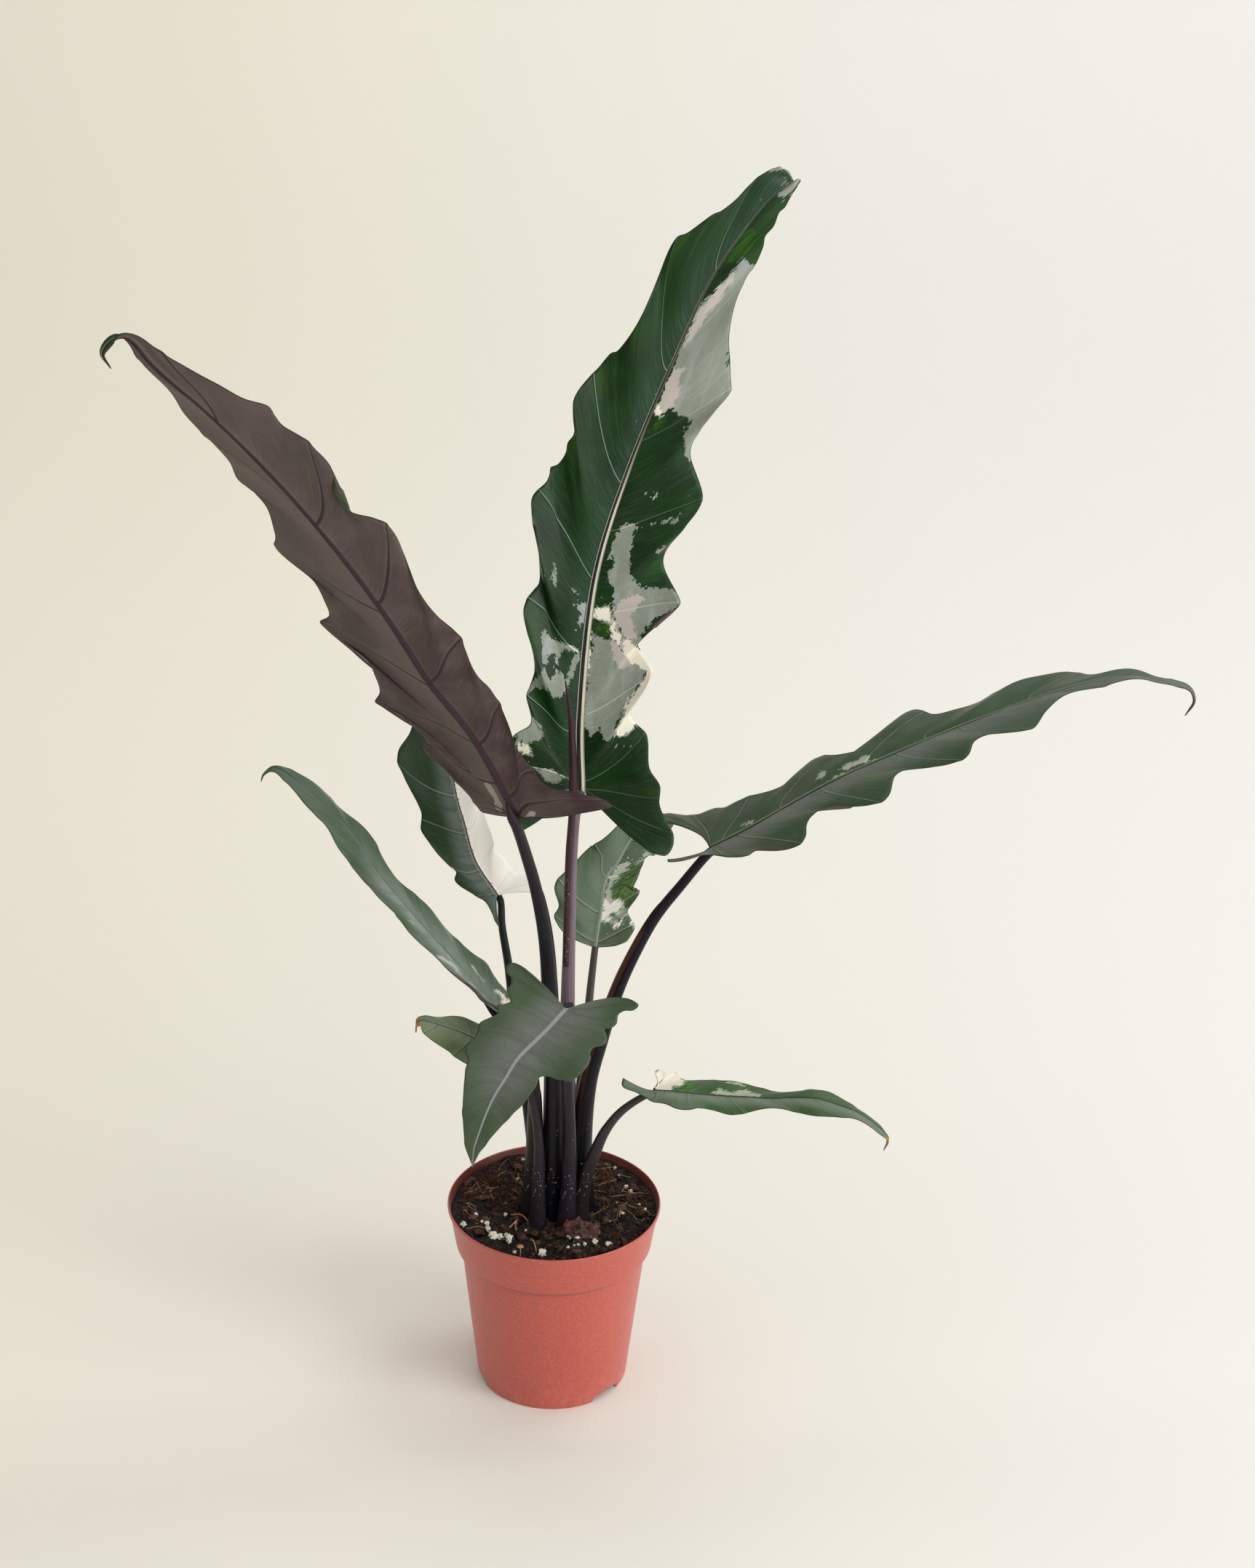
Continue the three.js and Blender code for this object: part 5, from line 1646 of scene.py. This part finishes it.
def fill_crumbs(bm, rng, mix):
    for i in range(mix.crumbs):
        x, y = free_spot(rng, 54.5, 9)
        size = rng.uniform(0.5, 1.5) + 1.6 * (rng.random() < 0.12)
        lump(bm, on_soil(x, y, -size * 0.3), (size, size * 0.8, size * 0.7), 200 + i,
             rng.uniform(0, 180), 2, 0.8)
    return mix_material("Crumbs", mix.peat, mix.crumb, tint(96, 66, 44), 0.9, 0.4)


def fill_fibres(bm, rng, mix):
    for _ in range(mix.bundles):
        x, y = coir_spot(rng)
        turn = rng.uniform(0, 2 * math.pi)
        for _ in range(rng.randint(4, 16)):
            spot = [c + rng.gauss(0, 2.2) for c in (x, y)]
            if math.hypot(*spot) > BUNDLE_REACH:
                continue
            path = fibre_path(rng, *spot, turn + rng.gauss(0, 0.6), rng.uniform(4, 15),
                              rng.uniform(0.1, 1.9))
            add_tube(bm, Smooth(path), 8, 4, tapering(1.15, 0.7, rng.uniform(0.08, 0.24)))
    return fibre_material("Coir", mix.coir, tint(36, 20, 13))


def fill_straws(bm, rng, mix):
    for _ in range(mix.straws):
        x, y = coir_spot(rng)
        path = fibre_path(rng, x, y, rng.uniform(0, 6.3), rng.uniform(5, 16),
                          rng.uniform(0.1, 1.2), 0.12)
        add_tube(bm, Smooth(path), 8, 5, tapering(1.1, 0.5, rng.uniform(0.12, 0.26)))
    for path in ROOTS:
        add_tube(bm, Smooth(path), 14, 8, tapering(0.5, 0.2))
    return fibre_material("Straw", mix.straw, tint(140, 100, 66))


def fill_mushroom(bm, rng, mix):
    x, y = MUSHROOM
    foot = soil_height(x, y)
    stem = Smooth(((x, y, foot - 1), (x + 0.2, y - 0.1, foot + 3), (x, y, foot + 5.9)))
    add_tube(bm, stem, 12, 12, tapering(0.36, 0.08))
    spin_profile(bm, CAP, 32, (x, y, foot + 5.8))
    return fibre_material("Mushroom", tint(186, 146, 112), tint(150, 110, 80), 0.5)


def litter_piece(name, fill, seed=0):
    """Things that lie on the mix. fill adds them to the mesh and gives their material."""
    bm = bmesh.new()
    material = fill(bm, random.Random(seed), settings().mix)
    return dress(finish_mesh(bm, name, material), "potting_mix")


def finish_rhizome():
    """The rhizome lies inside the mix and keeps its CAD solid, with a bark-like finish."""
    cork = mix_material("Rhizome", tint(74, 52, 40), tint(46, 32, 26), tint(110, 84, 64), 2, 0.5)
    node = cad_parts["rhizome"]
    node.data.materials.clear()
    node.data.materials.append(cork)


# Studio

# The camera in millimetres and degrees, its lens and its sensor's long side in millimetres
CAMERA = dict(at=(35.7, -1389.3, 1012.7), pitch=24.78, roll=1.37, lens=66.79, sensor=36)

# Floor and wall: half the width of the sheet and its profile (depth, height) in metres
SWEEP_HALF = 4
SWEEP = ((-2.6, 0), (-1, 0), (0.6, 0), (1.3, 0), (1.9, 0), (2.5, 0.12), (2.9, 0.5), (3.05, 1.1),
         (3.1, 3.2))

# The lights: name, setting, place and aim in metres, size in metres and colour
COOL, PLAIN, WARM = (0.98, 0.99, 1), (1, 0.99, 0.97), (1, 0.975, 0.93)
LIGHTS = (
    ("Key", "key", (1.7, -1.3, 1.7), (0, 0, 0.3), 1.5, PLAIN),
    ("Side", "side", (2.2, -0.9, 0.8), (0, 0, 0.25), 1.2, COOL),
    ("Low", "low", (1.6, -1.8, 0.35), (0, 0, 0.3), 1.0, COOL),
    ("Front", "front", (0.9, -2.4, 1.6), (0, 0, 0.25), 1.2, PLAIN),
    ("Top", "top", (-0.7, -0.7, 2.3), (0, 0, 0.3), 1.5, WARM),
    ("Left wall", "wall_left", (-0.6, 0.9, 2.9), (-0.6, 2.7, 0.5), 1.6, WARM),
    ("Right wall", "wall_right", (1.5, 0.9, 2.6), (1.2, 2.6, 0.4), 1.6, COOL),
)
SURROUND = (1.0, 0.985, 0.95, 1)


def add_camera():
    """The camera that took the photo, and the even look of its picture."""
    pitch, roll = math.radians(CAMERA["pitch"]), math.radians(CAMERA["roll"])
    look = Vector((0, math.cos(pitch), -math.sin(pitch)))
    right = Vector((1, 0, 0))
    up = right.cross(look)
    turned = right * math.cos(roll) + up * math.sin(roll)
    up = up * math.cos(roll) - right * math.sin(roll)
    axes = Matrix((turned, up, -look)).transposed().to_4x4()
    data = bpy.data.cameras.new("Camera")
    data.lens = CAMERA["lens"]
    data.sensor_width = CAMERA["sensor"]
    data.clip_start, data.clip_end = 0.05, 30
    camera = bpy.data.objects.new("Camera", data)
    camera.matrix_world = Matrix.Translation(Vector(CAMERA["at"]) * MM) @ axes
    bpy.context.scene.collection.objects.link(camera)
    bpy.context.scene.camera = camera
    view = bpy.context.scene.view_settings
    view.view_transform = "Standard"
    view.look = "None"
    view.exposure = 0


def add_sweep():
    """Floor and wall as one bent sheet of paper."""
    bm = bmesh.new()
    _, edges = add_line(bm, [(-SWEEP_HALF, y, z) for y, z in SWEEP])
    grown = bmesh.ops.extrude_edge_only(bm, edges=edges)
    bmesh.ops.translate(bm, vec=(2 * SWEEP_HALF, 0, 0), verts=grown_parts(grown, bmesh.types.BMVert))
    bmesh.ops.recalc_face_normals(bm, faces=bm.faces)
    if bm.faces[:][0].normal.z < 0:
        bmesh.ops.reverse_faces(bm, faces=bm.faces)
    paper = finish_mesh(bm, "studio_paper", paper_material(), recalc=False)
    smooth = paper.modifiers.new("Bend", "SUBSURF")
    smooth.levels = smooth.render_levels = 3


def add_surround():
    world = bpy.data.worlds.new("Surround")
    world.use_nodes = True
    back = world.node_tree.nodes["Background"]
    back.inputs[0].default_value = SURROUND
    back.inputs[1].default_value = settings().studio.sky
    bpy.context.scene.world = world


def add_lights():
    for name, setting, at, aim, size, tinge in LIGHTS:
        data = bpy.data.lights.new(name, "AREA")
        data.shape = "DISK"
        data.size = size
        data.energy = getattr(settings().studio, setting)
        data.color = tinge
        lamp = bpy.data.objects.new(name, data)
        lamp.location = at
        lamp.rotation_euler = (Vector(aim) - Vector(at)).to_track_quat("-Z", "Y").to_euler()
        bpy.context.scene.collection.objects.link(lamp)


# Operators, panel and registration

class BuildStep(Operator):
    """Builds one part of the plant."""

    bl_options = {"REGISTER", "UNDO"}
    steps = ()

    def execute(self, context):
        for step, *values in self.steps:
            step(*values)
        return {"FINISHED"}


class ALOCASIA_OT_studio(BuildStep):
    """Sets up the camera, the pale paper and the soft lights"""

    bl_idname = "alocasia.studio"
    bl_label = "Studio"
    steps = ((add_camera,), (add_sweep,), (add_surround,), (add_lights,))


class ALOCASIA_OT_pot(BuildStep):
    """Spins the nursery pot and cuts its foot notches"""

    bl_idname = "alocasia.pot"
    bl_label = "Pot"
    steps = ((pot_piece,),)


class ALOCASIA_OT_mix(BuildStep):
    """Fills the pot with mix and gives the hidden rhizome its finish"""

    bl_idname = "alocasia.mix"
    bl_label = "Mix"
    steps = ((soil_piece,), (finish_rhizome,))


class ALOCASIA_OT_litter(BuildStep):
    """Lays perlite, bark, crumbs, fibres, straws and one tiny mushroom on the mix"""

    bl_idname = "alocasia.litter"
    bl_label = "Litter"
    steps = (
        (litter_piece, "perlite", fill_perlite, 3), (litter_piece, "bark", fill_bark, 5),
        (litter_piece, "crumbs", fill_crumbs, 11), (litter_piece, "coir_fibres", fill_fibres, 17),
        (litter_piece, "straws", fill_straws, 23), (litter_piece, "mushroom", fill_mushroom),
    )


class ALOCASIA_OT_blades(BuildStep):
    """Builds the nine leaf blades"""

    bl_idname = "alocasia.blades"
    bl_label = "Leaf blades"
    steps = tuple((blade_piece, name) for name in LEAVES)


class ALOCASIA_OT_stalks(BuildStep):
    """Builds the nine stalks with their sheaths"""

    bl_idname = "alocasia.stalks"
    bl_label = "Stalks"
    steps = tuple((stalk_piece, name) for name in LEAVES)


class ALOCASIA_OT_new_leaf(BuildStep):
    """Builds the leaf that is still rolled"""

    bl_idname = "alocasia.new_leaf"
    bl_label = "Rolled leaf"
    steps = ((rolled_piece,),)


BUILD_ORDER = (
    ALOCASIA_OT_studio, ALOCASIA_OT_pot, ALOCASIA_OT_mix, ALOCASIA_OT_litter, ALOCASIA_OT_blades,
    ALOCASIA_OT_stalks, ALOCASIA_OT_new_leaf,
)


class ALOCASIA_PT_build(Panel):
    """Lists the build steps"""

    bl_label = "Potted alocasia"
    bl_idname = "ALOCASIA_PT_build"
    bl_space_type = "VIEW_3D"
    bl_region_type = "UI"
    bl_category = "Alocasia"

    def draw(self, context):
        for step in BUILD_ORDER:
            self.layout.operator(step.bl_idname)


CLASSES = (
    FoliageSettings, StalkSettings, PotSettings, MixSettings, StudioSettings, PlantSettings,
    *BUILD_ORDER, ALOCASIA_PT_build,
)


def register():
    for item in CLASSES:
        bpy.utils.register_class(item)
    bpy.types.Scene.alocasia = PointerProperty(type=PlantSettings)


def unregister():
    del bpy.types.Scene.alocasia
    for item in reversed(CLASSES):
        bpy.utils.unregister_class(item)


def main():
    register()
    for step in BUILD_ORDER:
        group, call = step.bl_idname.split(".")
        getattr(getattr(bpy.ops, group), call)()
    bpy.context.view_layer.update()


if __name__ == "__main__":
    main()
